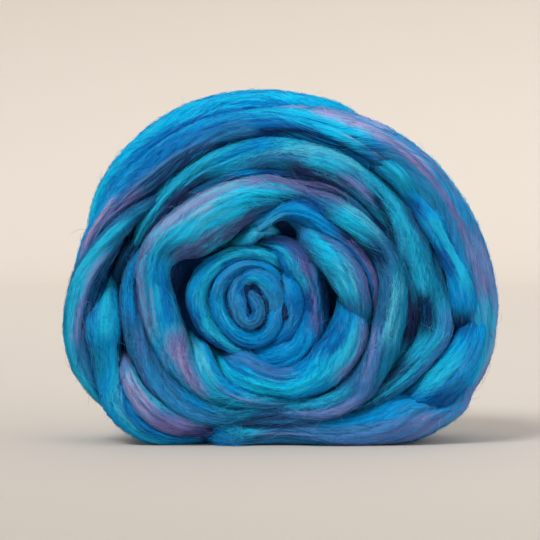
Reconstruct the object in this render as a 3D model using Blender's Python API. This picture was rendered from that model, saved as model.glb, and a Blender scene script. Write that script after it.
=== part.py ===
"""A ball of wool roving: one long, soft strand wound on itself, standing on its rim.

The wound form is one solid. The strand's laps are swept as closed tubes around the eye of
the roll, from short tables of where each lap lies, and are then fused into one body with a
small flat spot to stand on.

Frame: metres, +Z up, +X to the right of someone who looks at the spiral face, which looks
towards -Y. The origin is on the surface, under the middle of the ball.
"""

from collections import namedtuple

import bpy
import numpy as np

# Driving sizes
WIDTH = 0.295
HEIGHT = 0.238
DEPTH = 0.122
EYE_LEFT = 0.0205  # how far the eye of the roll lies left of the middle
EYE_UP = 0.0945  # how high the eye lies above the flat spot

# The tables below are in millimetres of a ball of this width, height and depth.
TABLE_WIDTH = 295.0
TABLE_HEIGHT = 238.0
TABLE_DEPTH = 122.0
ACROSS = WIDTH / TABLE_WIDTH
UP = HEIGHT / TABLE_HEIGHT
DEEP = DEPTH / TABLE_DEPTH

# Fusing the laps
SECTION_SIDES = 20
ANGLE_STEP = 3.0
TUCK = 1.5  # how far a lap's edge reaches under its neighbour, mm
DEPTH_PER_WIDTH = 0.55  # half a lap's depth, for each millimetre of its width
OUTER_DEPTH_PER_WIDTH = 0.75  # the same for the outer lap, which also forms the rim's front
LEAST_HALF_DEPTH = 10.0
VOXEL = 0.0022
SMOOTH_STEPS = 4
TRIANGLES_KEPT = 10800

ROVING_BLUE = (0.024, 0.245, 0.470, 1.0)
ROVING_ROUGHNESS = 0.85

# A lap's row: the angle around the eye in degrees (0 is right, 90 is up), the radius of its
# inner and outer edge, and how far its crown stands forward of the ball's middle plane.
Row = namedtuple("Row", "angle inner outer crown")
LAPS = {
    "outer_lap": (
        (0, 134, 168, 46), (20, 130, 163, 48), (40, 127, 157, 50), (60, 127, 150, 50),
        (75, 119, 142, 50), (90, 113, 136, 50), (110, 105, 131, 48), (130, 101, 125, 46),
        (150, 105, 122, 42), (170, 98, 121, 34), (195, 96, 123, 30), (220, 92, 119, 30),
        (250, 72, 100, 30), (270, 66, 95, 30), (290, 72, 100, 30), (310, 92, 124, 30),
        (330, 122, 156, 34), (345, 133, 167, 42), (360, 134, 168, 46),
    ),
    "second_lap": (
        (308, 98, 107, 44), (320, 104, 118, 48), (335, 111, 130, 51), (350, 119, 139, 53),
        (360, 120, 136, 51), (380, 116, 131, 50), (400, 114, 128, 52), (420, 107, 127, 54),
        (440, 97, 115, 53), (460, 92, 107, 52), (480, 95, 104, 50), (500, 90, 99, 48),
        (520, 93, 100, 42),
    ),
    "third_lap": (
        (308, 95, 104, 38), (325, 97, 112, 39), (345, 102, 118, 41), (365, 104, 120, 45),
        (380, 107, 120, 47), (395, 101, 117, 45), (410, 99, 116, 49), (425, 93, 108, 47),
        (440, 89, 98, 45), (470, 88, 98, 45), (490, 84, 95, 46), (510, 84, 94, 45),
        (528, 88, 98, 38),
    ),
    "big_ring": (
        (150, 79, 86, 48), (165, 78, 87, 52), (180, 74, 87, 54), (200, 73, 88, 55),
        (220, 70, 90, 56), (245, 71, 87, 56), (270, 68, 81, 54), (290, 71, 85, 54),
        (310, 79, 97, 56), (330, 82, 102, 58), (350, 83, 105, 58), (370, 88, 105, 56),
        (385, 87, 105, 56), (400, 79, 104, 58), (410, 79, 102, 57), (418, 85, 98, 50),
    ),
    "bright_lap": (
        (56, 86, 96, 46), (68, 77, 94, 53), (80, 68, 90, 57), (95, 56, 88, 59),
        (110, 47, 85, 60), (128, 46, 84, 60), (145, 59, 84, 60), (158, 56, 82, 58),
        (172, 50, 79, 57), (188, 49, 74, 55), (205, 57, 72, 50),
    ),
    "inner_left_lap": (
        (178, 46, 58, 46), (190, 46, 61, 51), (205, 48, 68, 56), (225, 53, 71, 57),
        (245, 60, 70, 56), (270, 59, 69, 54), (290, 64, 74, 53), (320, 74, 81, 46),
    ),
    "bright_loop": (
        (212, 45, 51, 42), (222, 41, 52, 50), (233, 40, 57, 56), (247, 46, 62, 58),
        (265, 56, 67, 57), (285, 62, 70, 54), (302, 68, 73, 48),
    ),
    "lower_inner_lap": (
        (238, 36, 45, 44), (250, 32, 54, 53), (265, 30, 58, 57), (280, 37, 63, 58),
        (295, 48, 68, 59), (310, 51, 76, 60), (330, 50, 82, 60), (345, 56, 82, 58),
        (360, 64, 83, 55), (368, 67, 80, 46),
    ),
    "arch": (
        (-4, 80, 87, 48), (12, 80, 88, 54), (28, 74, 83, 56), (45, 67, 80, 57),
        (60, 64, 80, 57), (72, 59, 76, 56), (82, 46, 67, 52), (92, 42, 54, 44),
    ),
    "inner_right_bulge": (
        (-8, 60, 78, 46), (4, 58, 82, 56), (20, 55, 81, 60), (34, 53, 77, 61),
        (46, 54, 69, 58), (58, 56, 66, 54), (66, 60, 66, 48),
    ),
    "curl": (
        (64, 52, 62, 42), (71, 47, 61, 50), (80, 41, 56, 52), (92, 40, 49, 44),
    ),
    "left_strand": (
        (122, 92, 100, 44), (140, 96, 105, 49), (155, 100, 113, 53), (168, 105, 121, 53),
        (180, 110, 125, 50), (193, 116, 128, 47), (208, 117, 125, 42), (222, 113, 120, 36),
    ),
    "left_bulge": (
        (170, 92, 102, 42), (178, 90, 110, 52), (190, 89, 117, 55), (205, 96, 121, 54),
        (220, 103, 121, 50), (235, 100, 114, 46), (252, 88, 99, 40),
    ),
    "lower_left_lap": (
        (193, 93, 98, 44), (205, 91, 103, 53), (222, 90, 105, 56), (240, 88, 102, 54),
        (252, 82, 96, 48), (262, 80, 91, 42),
    ),
    "bottom_lap": (
        (248, 82, 98, 42), (265, 79, 95, 47), (282, 79, 96, 50), (300, 88, 111, 53),
        (312, 100, 130, 54), (323, 114, 150, 52), (332, 130, 160, 48), (342, 146, 167, 38),
    ),
    "right_fan": (
        (325, 126, 146, 42), (333, 125, 158, 50), (342, 129, 164, 53), (350, 139, 167, 50),
        (360, 149, 167, 42),
    ),
    "rear_top_lap": (
        (35, 122, 149, -6), (60, 120, 148, 4), (80, 116, 144, 9), (100, 114, 142, 11),
        (120, 109, 137, 11), (140, 102, 130, 9), (160, 96, 122, 3), (185, 94, 119, -8),
    ),
    "roll_fifth_turn": (
        (272, 31, 40, 42), (290, 30, 48, 49), (310, 31, 52, 50), (335, 33, 53, 50),
        (355, 38, 57, 48), (375, 38, 54, 48), (400, 32, 54, 49), (420, 35, 53, 48),
        (440, 38, 46, 42),
    ),
    "roll_right_turn": (
        (280, 22, 31, 44), (310, 24, 35, 48), (345, 24, 39, 48), (380, 25, 40, 48),
        (405, 27, 36, 45),
    ),
    "roll_fourth_turn": (
        (45, 28, 38, 44), (90, 30, 40, 47), (130, 31, 41, 48), (155, 32, 46, 48),
        (180, 27, 42, 46), (210, 27, 39, 46), (240, 25, 34, 46), (270, 22, 32, 42),
    ),
}

# The silhouette seen face on, as the distance from the eye.
Reach = namedtuple("Reach", "angle distance")
SILHOUETTE = (
    Reach(0, 168), Reach(20, 163), Reach(40, 157), Reach(60, 150), Reach(78, 146),
    Reach(96, 143), Reach(120, 139), Reach(140, 131), Reach(160, 124), Reach(180, 126),
    Reach(195, 130), Reach(210, 125), Reach(230, 119), Reach(240, 111), Reach(255, 98),
    Reach(270, 95.5), Reach(285, 98.5), Reach(300, 112), Reach(310, 127), Reach(320, 144),
    Reach(330, 158), Reach(345, 168), Reach(360, 168),
)

# The wraps that lie side by side around the rim. place is how far the middle of the wrap
# lies behind the middle plane, sway how far it wanders to either side as it goes round, turn
# the angle where it lies furthest back, and inset how far it lies inside the silhouette.
Wrap = namedtuple("Wrap", "place sway turn inset half_depth thickness")
RIM_WRAPS = (
    Wrap(place=-3, sway=3, turn=80, inset=4, half_depth=17, thickness=32),
    Wrap(place=27, sway=5, turn=200, inset=6, half_depth=19, thickness=36),
)

# Two plain spirals of the same strand: the small roll at the eye, and the back of the ball.
# reach is the middle radius where a spiral starts: millimetres for the round roll, and a
# share of the silhouette for the back. wobble is how far the strand wanders off its spiral.
Spiral = namedtuple("Spiral", "start turns reach strand half_depth rim_crown peak wobble")
ROLL = Spiral(start=20, turns=2.6, reach=27, strand=11, half_depth=16,
              rim_crown=47, peak=51, wobble=0.8)
BACK_FACE = Spiral(start=310, turns=4.25, reach=0.83, strand=30, half_depth=15,
                   rim_crown=51, peak=61, wobble=2.5)
WOBBLES_PER_TURN = 2.3
INNERMOST_STRAND = 0.8  # the share of its width that the strand keeps at a spiral's middle

# The packed wool between the two faces.
Ring = namedtuple("Ring", "share depth")
FILLING = (
    Ring(0.02, -30), Ring(0.22, -26), Ring(0.34, -20), Ring(0.50, -34), Ring(0.80, -28),
    Ring(0.91, -10), Ring(0.91, 20), Ring(0.82, 40), Ring(0.55, 46), Ring(0.25, 46),
    Ring(0.02, 44),
)


def clear_scene():
    for old in list(bpy.data.objects):
        bpy.data.objects.remove(old, do_unlink=True)


def smooth_columns(rows, at):
    """Every column after the first, read at the places of `at` on a smooth curve.

    The curve is a cubic through the rows whose slope at a row is the slope from the row
    before it to the row after it.
    """
    table = np.array(rows, float)
    place, values = table[:, 0], table[:, 1:]
    slope = np.gradient(values, place, axis=0)
    left = np.clip(np.searchsorted(place, at, side="right") - 1, 0, len(place) - 2)
    span = place[left + 1] - place[left]
    t = ((at - place[left]) / span)[:, None]
    span = span[:, None]
    return (
        values[left] * (2 * t**3 - 3 * t**2 + 1)
        + slope[left] * span * (t**3 - 2 * t**2 + t)
        + values[left + 1] * (3 * t**2 - 2 * t**3)
        + slope[left + 1] * span * (t**3 - t**2)
    )


def silhouette(angles):
    """The silhouette's distance from the eye at any angles, in degrees."""
    return smooth_columns(SILHOUETTE, np.mod(angles, 360.0))[:, 0]


def steps(start, end):
    """Angles from start to end, about ANGLE_STEP apart."""
    count = max(4, int(round(abs(end - start) / ANGLE_STEP)) + 1)
    return np.linspace(start, end, count)


def points_at(angles, radii, depths):
    """Angle in degrees, distance from the eye and depth, as points in metres."""
    turn = np.radians(angles)
    x = radii * np.cos(turn) * ACROSS - EYE_LEFT
    z = radii * np.sin(turn) * UP + EYE_UP
    return np.stack([x, depths * DEEP, z], axis=-1)


def tube(angles, inner, outer, middle_depth, half_depth, closed):
    """A strand's section, an ellipse, carried around the eye.

    At each angle the section spans the two radii, and middle_depth - half_depth to
    middle_depth + half_depth in depth. The ends of an open tube are capped.
    """
    round_section = np.arange(SECTION_SIDES) * 2 * np.pi / SECTION_SIDES
    across, forward = np.cos(round_section), np.sin(round_section)
    middle = (inner + outer)[:, None] / 2
    half = (outer - inner)[:, None] / 2
    radii = middle + half * across
    depths = middle_depth[:, None] - half_depth[:, None] * forward
    rings = points_at(angles[:, None], radii, depths)
    count, sides = radii.shape
    vertices = rings.reshape(-1, 3)
    row = np.arange(count if closed else count - 1)[:, None]
    column = np.arange(sides)[None, :]
    after_row = (row + 1) % count
    after_column = (column + 1) % sides
    faces = np.stack(
        [
            row * sides + column,
            row * sides + after_column,
            after_row * sides + after_column,
            after_row * sides + column,
        ],
        axis=-1,
    ).reshape(-1, 4)
    faces = [tuple(face) for face in faces.tolist()]
    if not closed:
        faces.append(tuple(range(sides - 1, -1, -1)))
        faces.append(tuple(range((count - 1) * sides, count * sides)))
    return vertices, faces


def front_lap(rows):
    """A lap of the spiral face, from its table."""
    rows = [Row(*row) for row in rows]
    angles = steps(rows[0].angle, rows[-1].angle)
    inner, outer, crown = smooth_columns(rows, angles).T
    whole_turn = rows[-1].angle - rows[0].angle == 360
    inner, outer = inner - TUCK, outer + (0 if whole_turn else TUCK)
    deep = OUTER_DEPTH_PER_WIDTH if whole_turn else DEPTH_PER_WIDTH
    half_depth = np.maximum(LEAST_HALF_DEPTH, (outer - inner) * deep)
    if whole_turn:
        angles, inner, outer = angles[:-1], inner[:-1], outer[:-1]
        crown, half_depth = crown[:-1], half_depth[:-1]
    return tube(angles, inner, outer, half_depth - crown, half_depth, whole_turn)


def rim_wrap(wrap):
    """A wrap that runs right round the rim, inside the silhouette but level underneath."""
    angles = steps(0, 360)[:-1]
    # 1 straight below the eye, falling to 0 at 30 degrees below the level of the eye
    underneath = np.clip(-2 * np.sin(np.radians(angles)) - 1, 0, 1)
    outer = silhouette(angles) - wrap.inset * (1 - underneath)
    place = wrap.place + wrap.sway * np.cos(np.radians(angles - wrap.turn))
    half_depth = wrap.half_depth * np.ones_like(angles)
    return tube(angles, outer - wrap.thickness, outer, place, half_depth, True)


def plain_spiral(spiral, outline, side):
    """A spiral whose middle radius falls evenly from its outline to the eye.

    outline gives the middle radius of the first turn at each angle, and side is 1 on the
    front of the ball and -1 on its back.
    """
    angles = steps(spiral.start, spiral.start + 360 * spiral.turns)
    done = (angles - angles[0]) / (angles[-1] - angles[0])
    wobble = spiral.wobble * np.sin(np.radians(angles * WOBBLES_PER_TURN)) * (1 - done)
    middle = outline(angles) * (1 - done) + wobble
    half = spiral.strand / 2 * (1 - (1 - INNERMOST_STRAND) * done)
    crown = spiral.rim_crown + (spiral.peak - spiral.rim_crown) * np.sin(np.pi * done)
    half_depth = np.full_like(angles, spiral.half_depth)
    return tube(angles, middle - half, middle + half, side * (half_depth - crown),
                half_depth, False)


def roll():
    """The small roll at the eye, which is round."""
    return plain_spiral(ROLL, lambda angles: np.full_like(angles, ROLL.reach), 1)


def back_face():
    """The spiral of the back, whose turns follow the silhouette."""
    return plain_spiral(BACK_FACE, lambda angles: BACK_FACE.reach * silhouette(angles), -1)


def filling():
    """The packed wool behind the laps: rings that are shares of the silhouette."""
    angles = steps(0, 360)[:-1]
    reach = silhouette(angles)
    rings = [points_at(angles, reach * ring.share, np.full_like(angles, ring.depth))
             for ring in FILLING]
    count, sides = len(rings), len(angles)
    faces = []
    for r in range(count - 1):
        for s in range(sides):
            after = (s + 1) % sides
            faces.append((r * sides + s, r * sides + after,
                          (r + 1) * sides + after, (r + 1) * sides + s))
    faces.append(tuple(range(sides - 1, -1, -1)))
    faces.append(tuple(range((count - 1) * sides, count * sides)))
    return np.concatenate(rings), faces


def wool_material():
    material = bpy.data.materials.new("dyed_wool")
    material.use_nodes = True
    shader = material.node_tree.nodes["Principled BSDF"]
    shader.inputs["Base Color"].default_value = ROVING_BLUE
    shader.inputs["Roughness"].default_value = ROVING_ROUGHNESS
    shader.inputs["Metallic"].default_value = 0.0
    material.diffuse_color = ROVING_BLUE
    return material


def joined(name, shapes):
    """One mesh object that holds every (vertices, faces) shape."""
    vertices, faces, offset = [], [], 0
    for points, polygons in shapes:
        vertices.append(points)
        faces += [tuple(i + offset for i in polygon) for polygon in polygons]
        offset += len(points)
    mesh = bpy.data.meshes.new(name)
    mesh.from_pydata(np.concatenate(vertices).tolist(), [], faces)
    mesh.validate()
    result = bpy.data.objects.new(name, mesh)
    bpy.context.scene.collection.objects.link(result)
    return result


def floor_cutter():
    """A block whose top is the surface that the ball stands on."""
    low, high = (-WIDTH, -WIDTH, -WIDTH), (WIDTH, WIDTH, 0.0)
    corners = [(x, y, z) for x in (low[0], high[0]) for y in (low[1], high[1])
               for z in (low[2], high[2])]
    sides = [(0, 1, 3, 2), (4, 6, 7, 5), (0, 4, 5, 1), (2, 3, 7, 6), (0, 2, 6, 4), (1, 5, 7, 3)]
    cutter = joined("floor_cutter", [(np.array(corners), sides)])
    cutter.hide_render = True
    cutter.display_type = "WIRE"
    return cutter


def triangle_count(piece):
    graph = bpy.context.evaluated_depsgraph_get()
    mesh = piece.evaluated_get(graph).to_mesh()
    mesh.calc_loop_triangles()
    count = len(mesh.loop_triangles)
    piece.evaluated_get(graph).to_mesh_clear()
    return count


def roving_ball():
    shapes = [front_lap(rows) for rows in LAPS.values()]
    shapes += [rim_wrap(wrap) for wrap in RIM_WRAPS]
    shapes += [roll(), back_face(), filling()]
    ball = joined("roving_ball", shapes)
    ball.data.materials.append(wool_material())

    fuse = ball.modifiers.new("fuse_laps", "REMESH")
    fuse.mode = "VOXEL"
    fuse.voxel_size = VOXEL
    fuse.use_smooth_shade = True
    soften = ball.modifiers.new("soften", "SMOOTH")
    soften.iterations = SMOOTH_STEPS
    thin = ball.modifiers.new("thin_out", "DECIMATE")
    thin.ratio = TRIANGLES_KEPT / triangle_count(ball)
    flat = ball.modifiers.new("flat_spot", "BOOLEAN")
    flat.operation = "DIFFERENCE"
    flat.solver = "EXACT"
    flat.object = floor_cutter()
    return ball


clear_scene()
roving_ball()
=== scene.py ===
# %% [markdown]
# # A ball of wool roving
#
# Roving is combed wool that has been drawn out into one long, soft, untwisted strand. This
# one is dyed in blues, turquoise and mauve and wound on itself into a thick spiral ball. The
# solid of the wound form comes from the CAD, packed as a fixed frame. This lesson dresses it:
# every lap of the strand is worked out again as a finer surface, with the dye's stripes
# along it and thousands of loose fibres on it.

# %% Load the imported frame
import math
import time
from collections import namedtuple

import bpy
import numpy as np
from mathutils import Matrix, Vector


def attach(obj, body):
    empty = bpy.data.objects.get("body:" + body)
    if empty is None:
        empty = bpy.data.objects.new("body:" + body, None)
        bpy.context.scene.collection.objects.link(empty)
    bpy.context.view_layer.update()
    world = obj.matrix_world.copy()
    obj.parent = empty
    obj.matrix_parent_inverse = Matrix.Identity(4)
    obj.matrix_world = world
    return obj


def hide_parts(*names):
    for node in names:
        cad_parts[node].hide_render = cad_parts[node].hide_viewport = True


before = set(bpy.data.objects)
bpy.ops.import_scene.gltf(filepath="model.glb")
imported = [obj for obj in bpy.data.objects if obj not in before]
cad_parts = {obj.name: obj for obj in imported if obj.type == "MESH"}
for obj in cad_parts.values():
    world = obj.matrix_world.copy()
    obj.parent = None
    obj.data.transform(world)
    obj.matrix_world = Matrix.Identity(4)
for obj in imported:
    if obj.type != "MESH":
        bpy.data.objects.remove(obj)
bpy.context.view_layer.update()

started = time.perf_counter()
print("frame:", sorted(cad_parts))

# %% [markdown]
# ## The camera
#
# The ball is looked at straight onto its spiral face, from only a little above its middle.
# A wide lens close by would swell the front laps and hide the wrap behind them. A long lens
# further off keeps the laps in their measured proportions, so this camera has one.

# %% Camera
LENS_MM = 200.0
SENSOR_MM = 36.0
PICTURE_WIDTH = 0.368  # what the picture takes in at the ball, in metres
VIEW_UP_DEG = 2.0
LOOK_AT = Vector((-0.0076, -0.03, 0.1185))

camera_data = bpy.data.cameras.new("camera")
camera_data.lens = LENS_MM
camera_data.sensor_width = SENSOR_MM
camera = bpy.data.objects.new("camera", camera_data)
bpy.context.scene.collection.objects.link(camera)
distance = PICTURE_WIDTH * LENS_MM / SENSOR_MM
rise = math.radians(VIEW_UP_DEG)
camera.location = LOOK_AT + distance * Vector((0, -math.cos(rise), math.sin(rise)))
camera.rotation_euler = (LOOK_AT - camera.location).to_track_quat("-Z", "Y").to_euler()
bpy.context.scene.camera = camera
print(f"camera {distance:.2f} m away")

# %% [markdown]
# ## Light
#
# Wool shows its fibres best in broad, soft light from one side, with enough light from all
# round that the creases stay coloured. The main light comes from the upper left in front and
# is as soft as a large window. A weak lamp fills from the right, and the world gives the rest.

# %% Light
def lamp(name, kind, strength, colour, place, aim=(0.0, 0.0, 0.1)):
    """A lamp at a place, turned to face a point."""
    data = bpy.data.lights.new(name, kind)
    data.energy = strength
    data.color = colour
    result = bpy.data.objects.new(name, data)
    result.location = place
    result.rotation_euler = (Vector(aim) - Vector(place)).to_track_quat("-Z", "Y").to_euler()
    bpy.context.scene.collection.objects.link(result)
    return data


key = lamp("key_light", "SUN", 2.0, (1.0, 0.985, 0.96), (-1.2, -1.7, 2.1))
key.angle = math.radians(24)
fill = lamp("fill_light", "AREA", 7.0, (0.95, 0.97, 1.0), (1.3, -1.3, 0.5))
fill.size = 1.2

world = bpy.data.worlds.new("studio")
world.use_nodes = True
WORLD_LIGHT = 0.75
world.node_tree.nodes["Background"].inputs["Color"].default_value = (1.0, 0.975, 0.94, 1.0)
world.node_tree.nodes["Background"].inputs["Strength"].default_value = WORLD_LIGHT
bpy.context.scene.world = world
bpy.context.scene.view_settings.view_transform = "Standard"
print(f"key {key.energy}, fill {fill.energy}, world {WORLD_LIGHT}")

# %% [markdown]
# ## Meshes from grids
#
# Every surface here is a grid: points in rows and columns, worked out as whole arrays. A grid
# can close on itself in either direction, and a strand's ends are closed with a fan of
# triangles round a pole. Primitives could be joined and bent instead, but on a grid each
# face's place is known, so the same arrays also give its colours and its texture map.

# %% A mesh from a grid of points
def grid_faces(rows, columns, closed_rows, closed_columns):
    """The corners of each face of a grid, and the same corners without wrapping round.

    Face (i, j) has the corners (i, j), (i + 1, j), (i + 1, j + 1) and (i, j + 1). The second
    array keeps the numbers past the last row or column, for use in a texture map.
    """
    i, j = np.meshgrid(
        np.arange(rows if closed_rows else rows - 1),
        np.arange(columns if closed_columns else columns - 1),
        indexing="ij",
    )
    i, j = i.ravel(), j.ravel()
    row = np.stack([i, i + 1, i + 1, i], axis=1)
    column = np.stack([j, j, j + 1, j + 1], axis=1)
    corners = (row % rows) * columns + column % columns
    return corners, np.stack([row, column], axis=2)


def end_fans(rows, columns):
    """Triangles that close the two ends of a grid whose columns go round, and their places.

    Two points follow the grid's own: the pole of its first row and the pole of its last.
    """
    j = np.arange(columns)
    ahead = (j + 1) % columns
    last = (rows - 1) * columns
    first_pole = np.full(columns, rows * columns)
    corners = np.concatenate([
        np.stack([j, ahead, first_pole], axis=1),
        np.stack([last + ahead, last + j, first_pole + 1], axis=1),
    ])
    near = np.zeros(columns)
    far = np.full(columns, rows - 1.0)
    grid = np.concatenate([
        np.stack([near, j, near, j + 1, near - 0.5, j + 0.5], axis=1),
        np.stack([far, j + 1, far, j, far + 0.5, j + 0.5], axis=1),
    ])
    return corners, grid.reshape(-1, 3, 2)


def mesh_object(name, points, *face_groups):
    """A smooth mesh object with its place in its mesh, from points and arrays of faces."""
    mesh = bpy.data.meshes.new(name)
    corners = np.concatenate([faces.ravel() for faces in face_groups])
    sides = np.concatenate([np.full(len(faces), faces.shape[1]) for faces in face_groups])
    mesh.vertices.add(len(points))
    mesh.vertices.foreach_set("co", np.ascontiguousarray(points, np.float32).ravel())
    mesh.loops.add(len(corners))
    mesh.loops.foreach_set("vertex_index", corners.astype(np.int32))
    mesh.polygons.add(len(sides))
    mesh.polygons.foreach_set("loop_start", (np.cumsum(sides) - sides).astype(np.int32))
    mesh.polygons.foreach_set("use_smooth", np.ones(len(sides), bool))
    mesh.update(calc_edges=True)
    result = bpy.data.objects.new(name, mesh)
    bpy.context.scene.collection.objects.link(result)
    return result


def triangles(piece):
    """How many triangles a piece has: a face with n sides counts as n - 2."""
    return len(piece.data.loops) - 2 * len(piece.data.polygons)


print("a grid of 3 by 4 points has", len(grid_faces(3, 4, False, False)[0]), "faces")

# %% [markdown]
# ## The floor
#
# The floor is one plain round sheet that curves up into a wall all round, so no edge shows
# from any side. It is a profile turned about the vertical.

# %% Floor
FLOOR_RINGS = (0.0, 0.6, 1.5)  # the radii of the rings in its flat part, in metres
FLOOR_RADIUS = 2.7
WALL_BEND = 0.6
WALL_TOP = 2.6
BEND_POINTS = 19
SPOKE_DEG = 3.0

bend = np.radians(np.linspace(0, 90, BEND_POINTS))
profile_r = np.concatenate([FLOOR_RINGS, FLOOR_RADIUS + WALL_BEND * np.sin(bend),
                            [FLOOR_RADIUS + WALL_BEND]])
profile_z = np.concatenate([np.zeros(len(FLOOR_RINGS)), WALL_BEND * (1 - np.cos(bend)),
                            [WALL_TOP]])
around = np.radians(np.arange(0, 360, SPOKE_DEG))[:, None]
floor_points = np.stack(
    np.broadcast_arrays(profile_r * np.cos(around), profile_r * np.sin(around), profile_z),
    axis=-1,
)
floor_faces, _ = grid_faces(len(around), len(profile_r), True, False)
floor = mesh_object("floor", floor_points.reshape(-1, 3), floor_faces[:, ::-1])
floor_material = bpy.data.materials.new("plain_floor")
floor_material.use_nodes = True
floor_shader = floor_material.node_tree.nodes["Principled BSDF"]
floor_shader.inputs["Base Color"].default_value = (0.67, 0.625, 0.58, 1.0)
floor_shader.inputs["Roughness"].default_value = 0.95
floor_shader.inputs["Specular IOR Level"].default_value = 0.1
floor.data.materials.append(floor_material)
print(f"floor: {len(floor_faces)} faces")

# %% [markdown]
# ## The dyes
#
# The wool was dyed in soft stripes that run along the strand. Each dye is named once here,
# by the colour that it shows on a screen, and turned into the linear colour that a shader
# works in. Wool never shows its full colour, because its fibres shade each other, so each
# dye is made a little brighter than it looks on a lap's crown.

# %% Dyes
# Some of these also serve as painted light: navy, dusk and slate as painted shade where some
# stripes and the core use them, and cyan as a painted highlight along the outer lap's top.
SCREEN_DYES = {
    "cyan": (14, 184, 230),
    "turquoise": (28, 168, 208),
    "aqua": (78, 180, 212),
    "azure": (2, 138, 202),
    "cobalt": (4, 104, 172),
    "royal": (4, 80, 148),
    "navy": (4, 40, 84),
    "sky": (40, 132, 188),
    "steel": (38, 110, 160),
    "slate": (26, 82, 128),
    "teal": (10, 122, 162),
    "periwinkle": (64, 118, 178),
    "lilac": (106, 126, 180),
    "lavender": (162, 152, 197),
    "iris": (62, 84, 152),
    "grape": (66, 84, 132),
    "mauve": (104, 100, 156),
    "plum": (42, 52, 102),
    "dusk": (24, 40, 80),
}


def from_screen(colour):
    """A screen colour of three whole numbers up to 255, as a linear colour."""
    share = np.array(colour, float) / 255
    return np.where(share <= 0.04045, share / 12.92, ((share + 0.055) / 1.055) ** 2.4)


LIT = 0.88  # how bright a lap's crown looks, as a share of its own colour
DYES = {name: from_screen(colour) / LIT for name, colour in SCREEN_DYES.items()}
print(f"{len(DYES)} dyes")

# %% [markdown]
# ## Where the strand lies
#
# A lap is one pass of the strand round the eye of the ball. Its table has a row at each of a
# few angles, in degrees: 0 is right of the eye, 90 is above it, and an angle past 360 is a
# second time round. A row says how far the lap's inner and outer edges lie from the eye and
# how far its crown stands forward, in millimetres. The solid has the same kind of table.
#
# A lap's dye is the colour of the whole of it, and each stripe says where another dye runs
# along it. A stripe's width is measured from its middle to its side, as a share of the lap's
# own width. Its course gives angles and shares: 0 is the inner edge, and the share grows
# outwards. Past 0.85 it goes on over the outer edge and round the far side. Some dark stripes
# of navy, dusk and slate are painted shade in hollows, creases and on sides that face down,
# and a cyan stripe along the top of the outer lap is a painted highlight.

# %% Sizes
WIDTH, HEIGHT, DEPTH = 0.295, 0.238, 0.122  # of the ball, in metres
EYE_LEFT, EYE_UP = 0.0205, 0.0945  # the eye lies left of the middle and above the floor
TABLE_WIDTH, TABLE_HEIGHT, TABLE_DEPTH = 295.0, 238.0, 122.0  # the tables' ball, in mm
ACROSS, UP, DEEP = WIDTH / TABLE_WIDTH, HEIGHT / TABLE_HEIGHT, DEPTH / TABLE_DEPTH

# %% Tables of the laps
Stripe = namedtuple("Stripe", "dye width course")
Lap = namedtuple("Lap", "dye rows stripes")

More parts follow.
